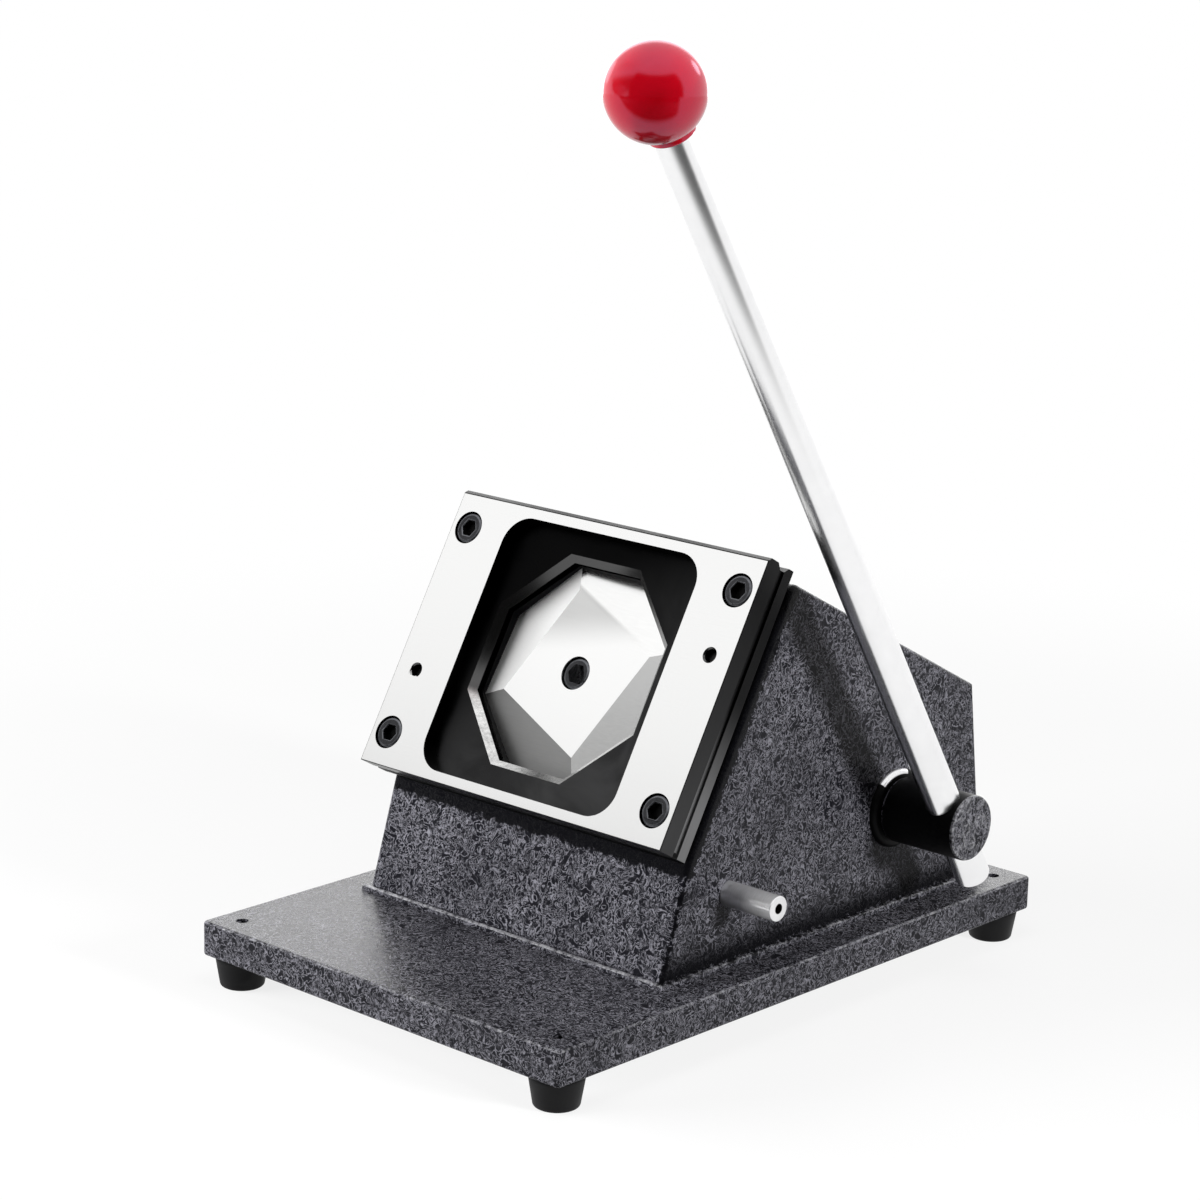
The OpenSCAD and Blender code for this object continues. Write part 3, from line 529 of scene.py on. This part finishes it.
def metal(name, colours, roughness, line_scale, stain_scale=35, line_turn=(0, 0, 0), metallic=1.0):
    """Bare or treated steel: two colours and two gloss levels by stains and fine tool marks.
    The line scale is along X, Y and Z, after the turn."""
    material, tree, shader = new_material(name, roughness[0], metallic)
    marks = new_node(tree, "Group", {"Line Scale": line_scale, "Line Turn": line_turn,
                                     "Stain Scale": stain_scale}, node_tree=scratches).outputs
    raised = new_node(tree, "Bump", {"Strength": 0.1, "Distance": tool_mark_depth, "Height": marks["Lines"]})
    feed(shader, {"Base Color": mix(tree, "RGBA", marks["Marks"], *colours),
                  "Roughness": between(tree, marks["Marks"], *roughness), "Normal": raised})
    return material


bright_steel = metal("bright_steel", ((0.60, 0.60, 0.61, 1), (0.80, 0.80, 0.81, 1)),
                     roughness=(0.16, 0.30), line_scale=(900, 900, 900))
black_oxide = metal("black_oxide", ((0.018, 0.018, 0.019, 1), (0.050, 0.050, 0.052, 1)),
                    roughness=(0.30, 0.48), line_scale=(700, 700, 700))


def finish_node(node, material):
    """Gives a node that shows as it is a better material."""
    mesh = frame["nodes"][node].data
    mesh.materials.clear()
    mesh.materials.append(material)


for node in ("foot_washers", "foot_screws"):
    finish_node(node, bright_steel)
finish_node("body_bolts", black_oxide)


# Body casting
# A hollow iron casting with a leaning front and a sloping top, painted like the base. A raised
# pad on its front is machined for the die stack, and a lip runs round its foot.
body_front_foot = -0.0675
body_rear_foot = 0.129
body_rear_crown = 0.1175
body_top_slope = math.radians(27.5)
body_crown_drop = 0.003
body_behind_face = 0.020
body_crown_r = 0.004
body_edge_r = 0.0022
body_pad_h = 0.004
body_pad_step = 0.0035
body_lip_h = 0.002
body_lip_w = 0.002
body_lip_r = 0.0013
# The lip is lightened: wear and a painted highlight line along the foot.
lip_front_wear_and_sheen = 0.53
lip_side_wear_and_sheen = 0.44
# Painted shade round and under the die stack, along the foot and down the front right edge.
paint_ragged = 0.0034
paint_ragged_scale = 420
painted_shade_colour = (0.003, 0.003, 0.004, 1.0)
stack_shadow = (0.0048, 0.0040)
stack_shadow_foot = (0.0060, 0.0045)
foot_shade = (0.018, 0.003)
foot_shade_foot = (0.0010, 0.0026)
foot_shade_side = (0.0022, 0.0018)
edge_shade = (0.0014, 0.0008)
edge_shade_foot = (0.004, 0.006)

joints = {joint["name"]: joint for joint in frame["joints"]}
out = Vector(joints["ram_slide"]["axis"]).normalized()
up_face = Vector((0, out.z, -out.y))


def span(node, direction):
    """Least and greatest distance of a node's points along a direction."""
    reach = [point.co.dot(direction) for point in frame["nodes"][node].data.vertices]
    return min(reach), max(reach)


die_bottom, die_top = span("die_block", up_face)
die_face = span("die_block", out)[1]
die_right = span("die_block", Vector((1, 0, 0)))[1]
face_frame = Matrix.Translation(out * die_face + up_face * die_bottom) @ Matrix(
    ((1, 0, 0, 0), (0, up_face.y, out.y, 0), (0, up_face.z, out.z, 0), (0, 0, 0, 1)))


def behind_face(depth, height):
    """The point that far behind the die's face and above its bottom edge."""
    return face_frame @ Vector((0, height, -depth))


def slice_off(piece, point, normal):
    """Cuts off what lies beyond a plane and closes the cut."""
    activate(piece)
    bpy.ops.object.mode_set(mode="EDIT")
    bpy.ops.mesh.select_all(action="SELECT")
    bpy.ops.mesh.bisect(plane_co=point, plane_no=normal, use_fill=True, clear_outer=True)
    bpy.ops.object.mode_set(mode="OBJECT")


body_low, body_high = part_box("body_casting")
side_x = body_high.x - body_lip_w - paint_skin
face_h = die_top - die_bottom - body_crown_drop
face_low = behind_face(body_behind_face + paint_skin, 0)
face_high = behind_face(body_behind_face + paint_skin, face_h)
front_foot = Vector((0, body_front_foot + paint_skin, 0))
rear_foot = Vector((0, body_rear_foot - paint_skin, 0))
rear_crown = Vector((0, body_rear_crown - paint_skin,
                     face_high.z - (body_rear_crown - face_high.y) * math.tan(body_top_slope)))
painted_body = block("painted_casting", Vector((-side_x, body_front_foot, 0)),
                     Vector((side_x, body_rear_foot, body_high.z + body_lip_h)))
lower_rise = face_low - front_foot
rear_rise = rear_crown - rear_foot
slice_off(painted_body, front_foot, Vector((0, -lower_rise.z, lower_rise.y)))
slice_off(painted_body, face_low, out)
slice_off(painted_body, rear_crown, Vector((0, math.sin(body_top_slope), math.cos(body_top_slope))))
slice_off(painted_body, rear_foot, Vector((0, rear_rise.z, -rear_rise.y)))
bevel_edges(painted_body, lambda a, b: close_to(a.y, b.y) and close_to(a.z, b.z) and a.z > 2 * face_low.z,
            body_crown_r, 6)
bevel_edges(painted_body, lambda a, b: close_to(a.x, b.x) and max(a.z, b.z) > body_lip_h, body_edge_r, 4)

pad_x = die_right - body_pad_step - paint_skin
pad_depth = body_behind_face - body_pad_h + paint_skin
body_pad = block("pad", Vector((-pad_x, body_pad_step + paint_skin, -body_behind_face - body_pad_h)),
                 Vector((pad_x, face_h - body_pad_step - paint_skin, -pad_depth)))
body_pad.matrix_world = face_frame
activate(body_pad)
bpy.ops.object.transform_apply()
carve(painted_body, body_pad, "UNION")

body_lip = block("lip", Vector((body_low.x + paint_skin, body_low.y + paint_skin, 0)),
                 Vector((body_high.x - paint_skin, body_high.y - paint_skin, body_lip_h - paint_skin)))
bevel_edges(body_lip, lambda a, b: min(a.z, b.z) > body_lip_h / 2, body_lip_r, 3)
carve(painted_body, body_lip, "UNION")
carve(painted_body, merged_copy("body_casting", "casting_inside"), "INTERSECT")


def lip_wear_and_sheen(centre, normal):
    """The lip is lightened, fully in front, in places on the sides: wear and painted highlight."""
    if centre.z > body_lip_h or not 0.4 < normal.z < 0.97:
        return 0.0
    return lip_side_wear_and_sheen if abs(normal.x) > abs(normal.y) else lip_front_wear_and_sheen


mark_wear_and_sheen(painted_body, lip_wear_and_sheen)


def darken_paint(*limits):
    """Paints shade where every limit holds: a direction, and where it starts and is full."""
    tree = hammertone.node_tree
    shader = tree.nodes["Principled BSDF"]
    before = shader.inputs["Base Color"].links[0].from_socket
    spot = new_node(tree, "TexCoord").outputs["Object"]
    ragged = noise(tree, spot, paint_ragged_scale, Detail=3.0)
    shift = between(tree, ragged, -paint_ragged, paint_ragged)
    steps = [soft_step(tree, maths(tree, "ADD", along(tree, spot, direction), shift), start, full)
             for direction, start, full in limits]
    share = steps[0]
    for step in steps[1:]:
        share = maths(tree, "MULTIPLY", share, step)
    feed(shader, {"Base Color": mix(tree, "RGBA", share, before, painted_shade_colour)})


def inside(level, depths):
    """The two levels that lie that far inside another one."""
    return level - depths[0], level - depths[1]


def finish_faces(piece, choose, *materials):
    """Gives a piece its materials, and each face the one whose number is chosen for it."""
    for material in materials:
        piece.data.materials.append(material)
    for face in piece.data.polygons:
        face.material_index = int(choose(face))


front_plane = die_face - body_behind_face
lower_out = Vector((0, -lower_rise.z, lower_rise.y)).normalized()
lower_plane = front_foot.dot(lower_out)
sideways = Vector((1, 0, 0))
# Painted shadow round and under the stack; painted shade along the foot and the front right edge.
darken_paint((out, *inside(front_plane, stack_shadow)), (upwards, *inside(face_low.z, stack_shadow_foot)))
darken_paint((upwards, *foot_shade), (upwards, *foot_shade_foot), (sideways, *inside(side_x, foot_shade_side)))
darken_paint((sideways, *inside(side_x, edge_shade)), (lower_out, *inside(lower_plane, edge_shade)),
             (upwards, *edge_shade_foot))
# Near-black iron: bare iron that is also painted shade, on the pad, hub side, bush, plate opening and pin hole.
iron_and_shade_black = metal("iron_and_shade_black", ((0.004, 0.004, 0.0042, 1), (0.012, 0.012, 0.0124, 1)),
                  roughness=(0.45, 0.65), line_scale=(500, 500, 500))
# The pad and the strip round it are bare machined iron, near-black as painted shade in the groove.
finish_faces(painted_body, lambda face: face.normal.dot(out) > square_on
             or face.center.dot(out) > front_plane + body_pad_h / 4, hammertone, iron_and_shade_black)
soften(painted_body)
dress(painted_body, None, "frame", "hammertone_paint", "body_casting")


# Die block
# A steel plate, blackened and then ground bright on its front face. A round-cornered pocket is
# milled into it, and the octagonal die in the pocket has a bright relief round its edge.
die_edge_r = 0.0003
dowel_edge = 0.0006
dowel_reach = 0.02
die_rail = 0.055
relief_shade_start = (0.036, 0.041)
relief_shade_colour = (0.09, 0.09, 0.09, 1.0)
relief_grey = (0.30, 0.30, 0.30, 1.0)
relief_bright = (0.80, 0.80, 0.79, 1.0)
die_black = (0.0015, 0.0015, 0.0016, 1.0)
die_grey = (0.060, 0.060, 0.061, 1.0)
die_gloss = (0.26, 0.44)
die_shade_ramp = (-0.105, 0.010)
die_smear_least = 0.45
streak_least = 0.55
ground_lines = (60, 2600, 2600)

ground_steel = metal("ground_steel", ((0.74, 0.74, 0.735, 1), (0.82, 0.82, 0.815, 1)),
                     roughness=(0.14, 0.24), line_scale=ground_lines, stain_scale=14)
face_turn = (math.atan2(up_face.z, up_face.y), 0, 0)
blackened, tree, shader = new_material("blackened_die", roughness=0.34, metallic=1.0)
marks = new_node(tree, "Group", {"Smear Scale": 38, "Grain Scale": 700}, node_tree=handling).outputs
spot = new_node(tree, "TexCoord").outputs["Object"]
# Painted shade: the pocket is darker at the upper left, lighter to the lower right, with smears.
lit_way = Vector((0.6, 0, 0)) - up_face
pocket_lit_share = soft_step(tree, along(tree, spot, lit_way), *[-die_bottom + reach for reach in die_shade_ramp])
smears_and_light = maths(tree, "MULTIPLY", pocket_lit_share, between(tree, marks["Smears"], die_smear_least, 1.0))
raised = new_node(tree, "Bump", {"Strength": 0.1, "Distance": tool_mark_depth, "Height": marks["Grain"]})
feed(shader, {"Base Color": mix(tree, "RGBA", smears_and_light, die_black, die_grey),
              "Roughness": between(tree, marks["Smears"], *die_gloss), "Normal": raised})

# The relief's upper part is dark as painted shade; below it shows its ground steel.
relief, tree, shader = new_material("relief_and_shade", roughness=0.24, metallic=1.0)
marks = new_node(tree, "Group", {"Line Scale": (800, 800, 800), "Stain Scale": 160}, node_tree=scratches)
spot = new_node(tree, "TexCoord").outputs["Object"]
relief_shaded_share = soft_step(tree, along(tree, spot, up_face), *[die_bottom + reach for reach in relief_shade_start])
relief_steel = mix(tree, "RGBA", marks.outputs["Marks"], relief_grey, relief_bright)
feed(shader, {"Base Color": mix(tree, "RGBA", relief_shaded_share, relief_steel, relief_shade_colour)})


def shaded_black(name, top, bottom, start, full):
    """Blackened steel with long streaks, lighter towards the stack's foot as a painted reflection."""
    material = metal(name, (top, bottom), roughness=(0.30, 0.46), line_scale=(160, 14, 160),
                     stain_scale=22, line_turn=face_turn)
    tree = material.node_tree
    colour = tree.nodes["Principled BSDF"].inputs["Base Color"].links[0].from_node
    marks = colour.inputs["Factor"].links[0].from_socket
    spot = new_node(tree, "TexCoord").outputs["Object"]
    wear_and_sheen = soft_step(tree, along(tree, spot, up_face), die_bottom + start, die_bottom + full)
    feed(colour, {"Factor": maths(tree, "MULTIPLY", wear_and_sheen, between(tree, marks, streak_least, 1.0))})
    return material


# The die's right side lightens towards its foot: a painted reflection.
die_side = shaded_black("die_side", (0.013, 0.013, 0.0134, 1), (0.056, 0.056, 0.057, 1),
                        start=0.100, full=-0.010)
die_middle = (die_bottom + die_top) / 2


def on_rim(point):
    """On the die's outline or the pocket's, and not at a screw's or a dowel's hole."""
    return close_to(point.dot(out), die_face) and (abs(point.x) < die_rail
                                                   or close_to(abs(point.x), die_right))


def near_dowel(point):
    """On a rail beside the pocket, halfway up, where the dowels' holes are."""
    return (die_rail < abs(point.x) < die_right - die_rail / 10
            and close_to(point.dot(up_face), die_middle, dowel_reach))


def die_finish(face):
    """Ground front, relief with painted shade, right side with painted reflection, the rest blackened."""
    facing, front = face.normal.dot(out), face.center.dot(out)
    if facing > square_on and close_to(front, die_face, 1e-4):
        return 1
    if 0.6 < facing < 0.8 and face.center.dot(up_face) < die_top - 2 * body_pad_step:
        return 2
    return 3 if face.center.x > die_right - die_edge_r else 0


ground_die = merged_copy("die_block", "ground_die")
bevel_edges(ground_die, lambda a, b: on_rim(a) and on_rim(b), die_edge_r, 2)
bevel_edges(ground_die, lambda a, b: all(close_to(end.dot(out), die_face) and near_dowel(end)
                                         for end in (a, b)), dowel_edge, 1)
finish_faces(ground_die, die_finish, blackened, ground_steel, relief, die_side)
soften(ground_die)
dress(ground_die, None, "frame", "ground_steel", "die_block")


# Slot strips, guide plate and dowels
# Blackened steel. The two strips keep the card slot open between the die and the guide plate,
# and two dowels line the stack up.
# The strips and the plate's outer edges lighten towards the foot: a painted reflection.
sheen_streaked_black = shaded_black("sheen_streaked_black", (0.008, 0.008, 0.0084, 1), (0.21, 0.21, 0.213, 1),
                            start=0.065, full=0.012)
finish_node("slot_spacers", sheen_streaked_black)
finish_node("dowel_pins", black_oxide)
plate = merged_copy("guide_plate", "slotted_plate")
# The opening's inner walls are near-black: painted shade.
finish_faces(plate, lambda face: abs(face.center.x) < die_rail and abs(face.normal.dot(out)) < 0.5,
             sheen_streaked_black, iron_and_shade_black)
soften(plate)
dress(plate, None, "frame", "black_oxide", "guide_plate")


# Die screws
# Four low head socket screws in counterbores at the die's corners, blackened, with a turned
# bevel round each head.
screw_bevel = 0.0013
socket_bevel = 0.0006
socket_side = 0.002
rim_face = 2e-6

screw_black = metal("screw_black", ((0.022, 0.022, 0.024, 1), (0.056, 0.057, 0.061, 1)),
                    roughness=(0.22, 0.34), line_scale=(900, 900, 900), stain_scale=60)
# The rim's lighter steel is wear and a painted highlight; the socket's near-black is painted shade.
screw_rim_wear_and_sheen = metal("screw_rim_wear_and_sheen", ((0.055, 0.057, 0.064, 1), (0.21, 0.215, 0.23, 1)),
                  roughness=(0.28, 0.40), line_scale=(500, 500, 500), stain_scale=160)
socket_shade_black, shader = moulded("socket_shade_black", ((0.002, 0.002, 0.002, 1), (0.005, 0.005, 0.005, 1)),
                               roughness=(0.50, 0.70), smear_scale=200, grain_scale=900,
                               grain_depth=0.00002)
feed(shader, {"Specular IOR Level": 0.05})


def bevel_head(piece, node):
    """Bevels a socket screw's rim and, less, the six long edges of its socket."""
    top = span(node, out)[1]

    def on_top(a, b):
        """Whether an edge lies in the head's end face."""
        return close_to(a.dot(out), top) and close_to(b.dot(out), top)

    def head_finish(face):
        """Painted shade in the socket and down the side, wear and painted highlight on the rim."""
        if face.center.dot(out) < top - screw_bevel:
            return 1
        return 2 if 0.3 < face.normal.dot(out) < 0.97 and face.area < rim_face else 0

    bevel_edges(piece, lambda a, b: on_top(a, b) and (a - b).length < socket_side, screw_bevel, 3)
    bevel_edges(piece, lambda a, b: on_top(a, b) and (a - b).length > socket_side, socket_bevel, 2)
    finish_faces(piece, head_finish, screw_black, socket_shade_black, screw_rim_wear_and_sheen)
    soften(piece)


screw_heads = merged_copy("die_screws", "socket_screws")
bevel_head(screw_heads, "die_screws")
dress(screw_heads, None, "frame", "black_oxide", "die_screws")


# Punch
# A ground octagon with a raised square and four falling facets, held to the ram by one socket
# screw. The upper left facet is satin. The lower left one and the square's upper part are
# darkened as painted shade.
punch_shade_band = (die_middle + 0.008, die_middle + 0.026)
punch_raised = span("punch", out)[1]
square_edge = (0.0004, 0.0001)
punch_shade_way = up_face - Vector((0.25, 0, 0))
punch_bright = ((0.82, 0.82, 0.815, 1), (0.91, 0.91, 0.905, 1))
punch_shade_colour = (0.56, 0.56, 0.556, 1)
punch_gloss = (0.18, 0.27)

punch_steel, tree, shader = new_material("punch_steel", roughness=0.2, metallic=1.0)
marks = new_node(tree, "Group", {"Line Scale": ground_lines, "Stain Scale": 22},
                 node_tree=scratches).outputs["Marks"]
spot = new_node(tree, "TexCoord").outputs["Object"]
# Painted shade darkens the square's upper part.
punch_shade_share = maths(tree, "MULTIPLY", soft_step(tree, along(tree, spot, punch_shade_way), *punch_shade_band),
             soft_step(tree, along(tree, spot, out), *inside(punch_raised, square_edge)))
bare_part = mix(tree, "RGBA", marks, *punch_bright)
feed(shader, {"Base Color": mix(tree, "RGBA", punch_shade_share, bare_part, punch_shade_colour),
              "Roughness": between(tree, marks, *punch_gloss)})
satin_steel = metal("satin_steel", ((0.92, 0.92, 0.915, 1), (0.98, 0.98, 0.975, 1)),
                    roughness=(0.42, 0.50), line_scale=ground_lines, stain_scale=22, metallic=0.8)
# The lower left facet's darker steel is painted shade.
shaded_facet_steel = metal("shaded_facet_steel", ((0.42, 0.42, 0.417, 1), (0.50, 0.50, 0.497, 1)),
                    roughness=(0.38, 0.46), line_scale=ground_lines, stain_scale=22)


def punch_finish(face):
    """Of the falling facets, the upper left one is satin and the lower left one darker, as painted shade."""
    if not 0.5 < face.normal.dot(out) < square_on or face.normal.x >= 0:
        return 0
    return 1 if face.normal.dot(up_face) > 0 else 2


punch = merged_copy("punch", "ground_punch")
bpy.ops.object.shade_flat()
finish_faces(punch, punch_finish, punch_steel, satin_steel, shaded_facet_steel)
dress(punch, None, "ram", "ground_steel", "punch")
punch_bolt = merged_copy("punch_screw", "punch_bolt")
bevel_head(punch_bolt, "punch_screw")
dress(punch_bolt, None, "ram", "black_oxide", "punch_screw")


# Ram and its bush
# The ram is turned from bright steel. A hardened disc at its rear takes the eccentric's push,
# two dowels keep the punch from turning, and a long bronze bush guides it.
bronze = metal("bush_bronze", ((0.45, 0.28, 0.10, 1), (0.62, 0.42, 0.18, 1)),
               roughness=(0.25, 0.40), line_scale=(800, 800, 800))
for node in ("ram", "follower_pad", "punch_dowels"):
    finish_node(node, bright_steel)
finish_node("ram_bush", bronze)


# Return spring
# A coil of round spring wire between the bush and the ram's head, built at one length. The real
# coil shortens as the ram moves forward.
spring_turns = 4
spring_wire_r = 0.002

spring_left, spring_right = span("return_spring", Vector((1, 0, 0)))
spring_back, spring_front = span("return_spring", out)
spring_low, spring_high = span("return_spring", up_face)
spring_r = (spring_right - spring_left) / 2 - spring_wire_r
spring_l = spring_front - spring_back
clear_selection()
bpy.ops.mesh.primitive_circle_add(vertices=16, radius=spring_wire_r, location=(spring_r, 0, spring_wire_r),
                                  rotation=(math.pi / 2, 0, 0))
spring = bpy.context.object
spring.name = "wound_spring"
bpy.ops.object.transform_apply()
winding = spring.modifiers.new("winding", "SCREW")
winding.steps = winding.render_steps = 48
winding.iterations = spring_turns
winding.screw_offset = (spring_l - 2 * spring_wire_r) / spring_turns
winding.use_smooth_shade = False
bpy.ops.object.modifier_apply(modifier=winding.name)
bpy.ops.object.mode_set(mode="EDIT")
bpy.ops.mesh.select_all(action="SELECT")
bpy.ops.mesh.fill_holes(sides=0)
bpy.ops.mesh.select_all(action="SELECT")
bpy.ops.mesh.normals_make_consistent(inside=False)
bpy.ops.object.mode_set(mode="OBJECT")


def put(piece, place):
    """Moves a piece that was made at the origin to its place, in its mesh."""
    piece.matrix_world = place
    activate(piece)
    bpy.ops.object.transform_apply()


spring_start = out * spring_back + up_face * (spring_low + spring_high) / 2
put(spring, Matrix.Translation(spring_start) @ face_frame.to_3x3().to_4x4())
soften(spring)
dress(spring, bright_steel, "frame", "bright_steel", "return_spring")
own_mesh(spring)


# Cross shaft and its bearings
# A turned shaft with an eccentric on it, two keys and a retaining ring, in flanged steel bushes
# pressed into the casting's sides.
flange_bevel = 0.002
flange_inside_r = 0.013
flange_highlight_side = Vector((-0.21, 0.98))
flange_highlight_share = 0.87

shaft_centre = Vector(joints["lever_hinge"]["pos_m"])
for node in ("cross_shaft", "eccentric_cam", "shaft_keys", "shaft_ring", "shaft_bush_left"):
    finish_node(node, bright_steel)
flange_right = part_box("shaft_bush_right")[1].x
flanged_bush = merged_copy("shaft_bush_right", "flanged_bush")
bevel_edges(flanged_bush, lambda a, b: all(close_to(end.x, flange_right)
                                           and (end - shaft_centre).yz.length > flange_inside_r
                                           for end in (a, b)), flange_bevel, 3)
# The bush is near-black as painted shade, with an arc on its upper rim left bright as a painted highlight.
finish_faces(flanged_bush, lambda face: face.normal.x > square_on or flange_highlight_share >
             (face.center - shaft_centre).yz.normalized().dot(flange_highlight_side), bright_steel, iron_and_shade_black)
soften(flanged_bush)
dress(flanged_bush, None, "frame", "bright_steel", "shaft_bush_right")


# Stop pin
# A turned steel pin, pressed into the casting's right side, where the lever comes to rest. Its
# end is faced, with the small hole that the lathe's centre left.
pin_edge = 0.0006
pin_hole_r = 0.0020
pin_hole_depth = 0.0030
pin_hole_taper = 0.35


def turned_bar(name, radius, length, edge):
    """A round bar along Z from the origin with bevelled ends."""
    clear_selection()
    bpy.ops.mesh.primitive_cylinder_add(vertices=96, radius=radius, depth=length,
                                        location=(0, 0, length / 2))
    piece = bpy.context.object
    piece.name = name
    bpy.ops.object.transform_apply()
    if edge:
        bevel_edges(piece, lambda a, b: close_to(a.z, b.z), edge, 2)
    return piece


turned_steel = metal("turned_steel", ((0.62, 0.62, 0.63, 1), (0.84, 0.84, 0.85, 1)),
                     roughness=(0.14, 0.20), line_scale=(1600, 240, 240), metallic=0.6)
along_x = Matrix.Rotation(math.pi / 2, 4, "Y")
pin_low, pin_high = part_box("stop_pin")
pin_r = (pin_high.z - pin_low.z) / 2
pin_l = pin_high.x - pin_low.x
pin = turned_bar("turned_pin", pin_r, pin_l, pin_edge)
pick_faces(pin, lambda centre, normal: normal.z > square_on)
bpy.ops.mesh.inset(thickness=pin_r - pin_edge - pin_hole_r)
bpy.ops.mesh.extrude_region_move(TRANSFORM_OT_translate={"value": (0, 0, -pin_hole_depth)})
bpy.ops.transform.resize(value=(pin_hole_taper, pin_hole_taper, 1))
bpy.ops.object.mode_set(mode="OBJECT")
# The centre hole is near-black: painted shade.
finish_faces(pin, lambda face: face.center.xy.length < pin_hole_r
             and pin_l / 2 < face.center.z < pin_l - pin_hole_depth / 4, turned_steel, iron_and_shade_black)
pin_middle = (pin_low + pin_high) / 2
put(pin, Matrix.Translation((pin_low.x, pin_middle.y, pin_middle.z)) @ along_x)
soften(pin)
dress(pin, None, "frame", "bright_steel", "stop_pin")


# Lever hub
# A round hub with a painted end and a side that is near-black as painted shade, keyed to the shaft's
# end and cross drilled for the rod. Grub screws from behind hold both.
hub_edge = 0.0012
hub_fit = 0.00004
# The hub's end and rim are lightened: wear and a painted highlight.
hub_end_wear_and_sheen = 0.42
hub_rim_wear_and_sheen = 0.5
grub_r = 0.003

knob_low, knob_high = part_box("ball_knob")
knob_r = (knob_high.x - knob_low.x) / 2
knob_centre = Vector(((knob_low.x + knob_high.x) / 2, knob_low.y + knob_r, knob_high.z - knob_r))
rod_low, rod_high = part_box("lever_rod")
rod_r = (rod_high.x - rod_low.x) / 2
rod_root = Vector(((rod_low.x + rod_high.x) / 2, shaft_centre.y, shaft_centre.z))
lever_axis = (knob_centre - rod_root).normalized()
lever_turn = Matrix.Rotation(math.atan2(-lever_axis.y, lever_axis.z), 4, "X")
hub_low, hub_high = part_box("lever_hub")
hub_r = (hub_high.z - hub_low.z) / 2
hub_l = hub_high.x - hub_low.x
shaft_low, shaft_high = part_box("cross_shaft")
shaft_r = (shaft_high.z - shaft_low.z) / 2

hub = turned_bar("painted_hub", hub_r, hub_l, hub_edge)
put(hub, Matrix.Translation((hub_low.x, rod_root.y, rod_root.z)) @ along_x)
shaft_bore = turned_bar("shaft_bore", shaft_r + hub_fit, hub_l, 0)
put(shaft_bore, Matrix.Translation((shaft_high.x - hub_l, rod_root.y, rod_root.z)) @ along_x)
carve(hub, shaft_bore, "DIFFERENCE")
rod_bore = turned_bar("rod_bore", rod_r + hub_fit, 4 * hub_r, 0)
put(rod_bore, Matrix.Translation(rod_root - lever_axis * 2 * hub_r) @ lever_turn)
carve(hub, rod_bore, "DIFFERENCE")
backwards = lever_turn @ Matrix.Rotation(-math.pi / 2, 4, "X")
key_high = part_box("shaft_keys")[1].x
key_l = key_high - hub_low.x
for x in (rod_root.x, key_high - key_l / 2):
    grub_hole = turned_bar("grub_hole", grub_r + hub_fit, 2 * hub_r, 0)
    put(grub_hole, Matrix.Translation((x, rod_root.y, rod_root.z)) @ backwards)
    carve(hub, grub_hole, "DIFFERENCE")


def hub_wear_and_sheen(centre, normal):
    """The hub's end is lightened a little and its rim more: wear and painted highlight."""
    if centre.x < hub_high.x - hub_edge or normal.x < 0.3:
        return 0.0
    return hub_rim_wear_and_sheen if normal.x < 0.97 else hub_end_wear_and_sheen


mark_wear_and_sheen(hub, hub_wear_and_sheen)
# The hub's side is near-black iron, painted shade.
finish_faces(hub, lambda face: abs(face.normal.x) < 0.3, hammertone, iron_and_shade_black)
soften(hub)
dress(hub, None, "lever", "hammertone_paint", "lever_hub")
finish_node("set_screws", black_oxide)


# Lever rod
# Polished and plated round bar, chamfered at both ends, with a turned stud for the ball.
rod_edge = 0.0008
rod_stud_r = 0.005

rod_bottom, stud_top = [end - rod_root.dot(lever_axis) for end in span("lever_rod", lever_axis)]
rod_top = span("ball_knob", lever_axis)[0] - rod_root.dot(lever_axis)

plated = metal("plated_rod", ((0.88, 0.88, 0.885, 1), (0.95, 0.95, 0.955, 1)),
               roughness=(0.20, 0.24), line_scale=(120, 120, 120))
rod = turned_bar("polished_rod", rod_r, rod_top - rod_bottom, rod_edge)
pick_faces(rod, lambda centre, normal: normal.z > square_on)
bpy.ops.mesh.inset(thickness=rod_r - rod_edge - rod_stud_r)
bpy.ops.mesh.extrude_region_move(TRANSFORM_OT_translate={"value": (0, 0, stud_top - rod_top)})
bpy.ops.object.mode_set(mode="OBJECT")
put(rod, Matrix.Translation(rod_root + lever_axis * rod_bottom) @ lever_turn)
soften(rod)
dress(rod, plated, "lever", "plated_rod", "lever_rod")


# Ball knob
# A moulded ball of glossy red plastic with a short neck, screwed onto the rod's stud.
neck_r = 0.0085
neck_round = 0.0005

red_plastic, shader = moulded("red_plastic", ((0.34, 0.0004, 0.0040, 1), (0.40, 0.0007, 0.0065, 1)),
                              roughness=(0.10, 0.16), smear_scale=45, grain_scale=240,
                              grain_depth=0.00002)
feed(shader, {"Specular Tint": (1.0, 0.60, 1.0, 1.0), "Specular IOR Level": 0.75})
clear_selection()
bpy.ops.mesh.primitive_uv_sphere_add(segments=96, ring_count=48, radius=knob_r)
knob = bpy.context.object
knob.name = "red_ball"
neck_top = -math.sqrt(knob_r ** 2 - neck_r ** 2)
neck_bottom = rod_top - (knob_centre - rod_root).length
slice_off(knob, (0, 0, neck_top), (0, 0, -1))
pick_faces(knob, lambda centre, normal: normal.z < -square_on)
bpy.ops.mesh.extrude_region_move(TRANSFORM_OT_translate={"value": (0, 0, neck_bottom - neck_top)})
bevel_edges(knob, lambda a, b: close_to(a.z, neck_bottom) and close_to(b.z, neck_bottom), neck_round, 3)
put(knob, Matrix.Translation(knob_centre) @ lever_turn)
soften(knob)
dress(knob, red_plastic, "lever", "red_plastic", "ball_knob")
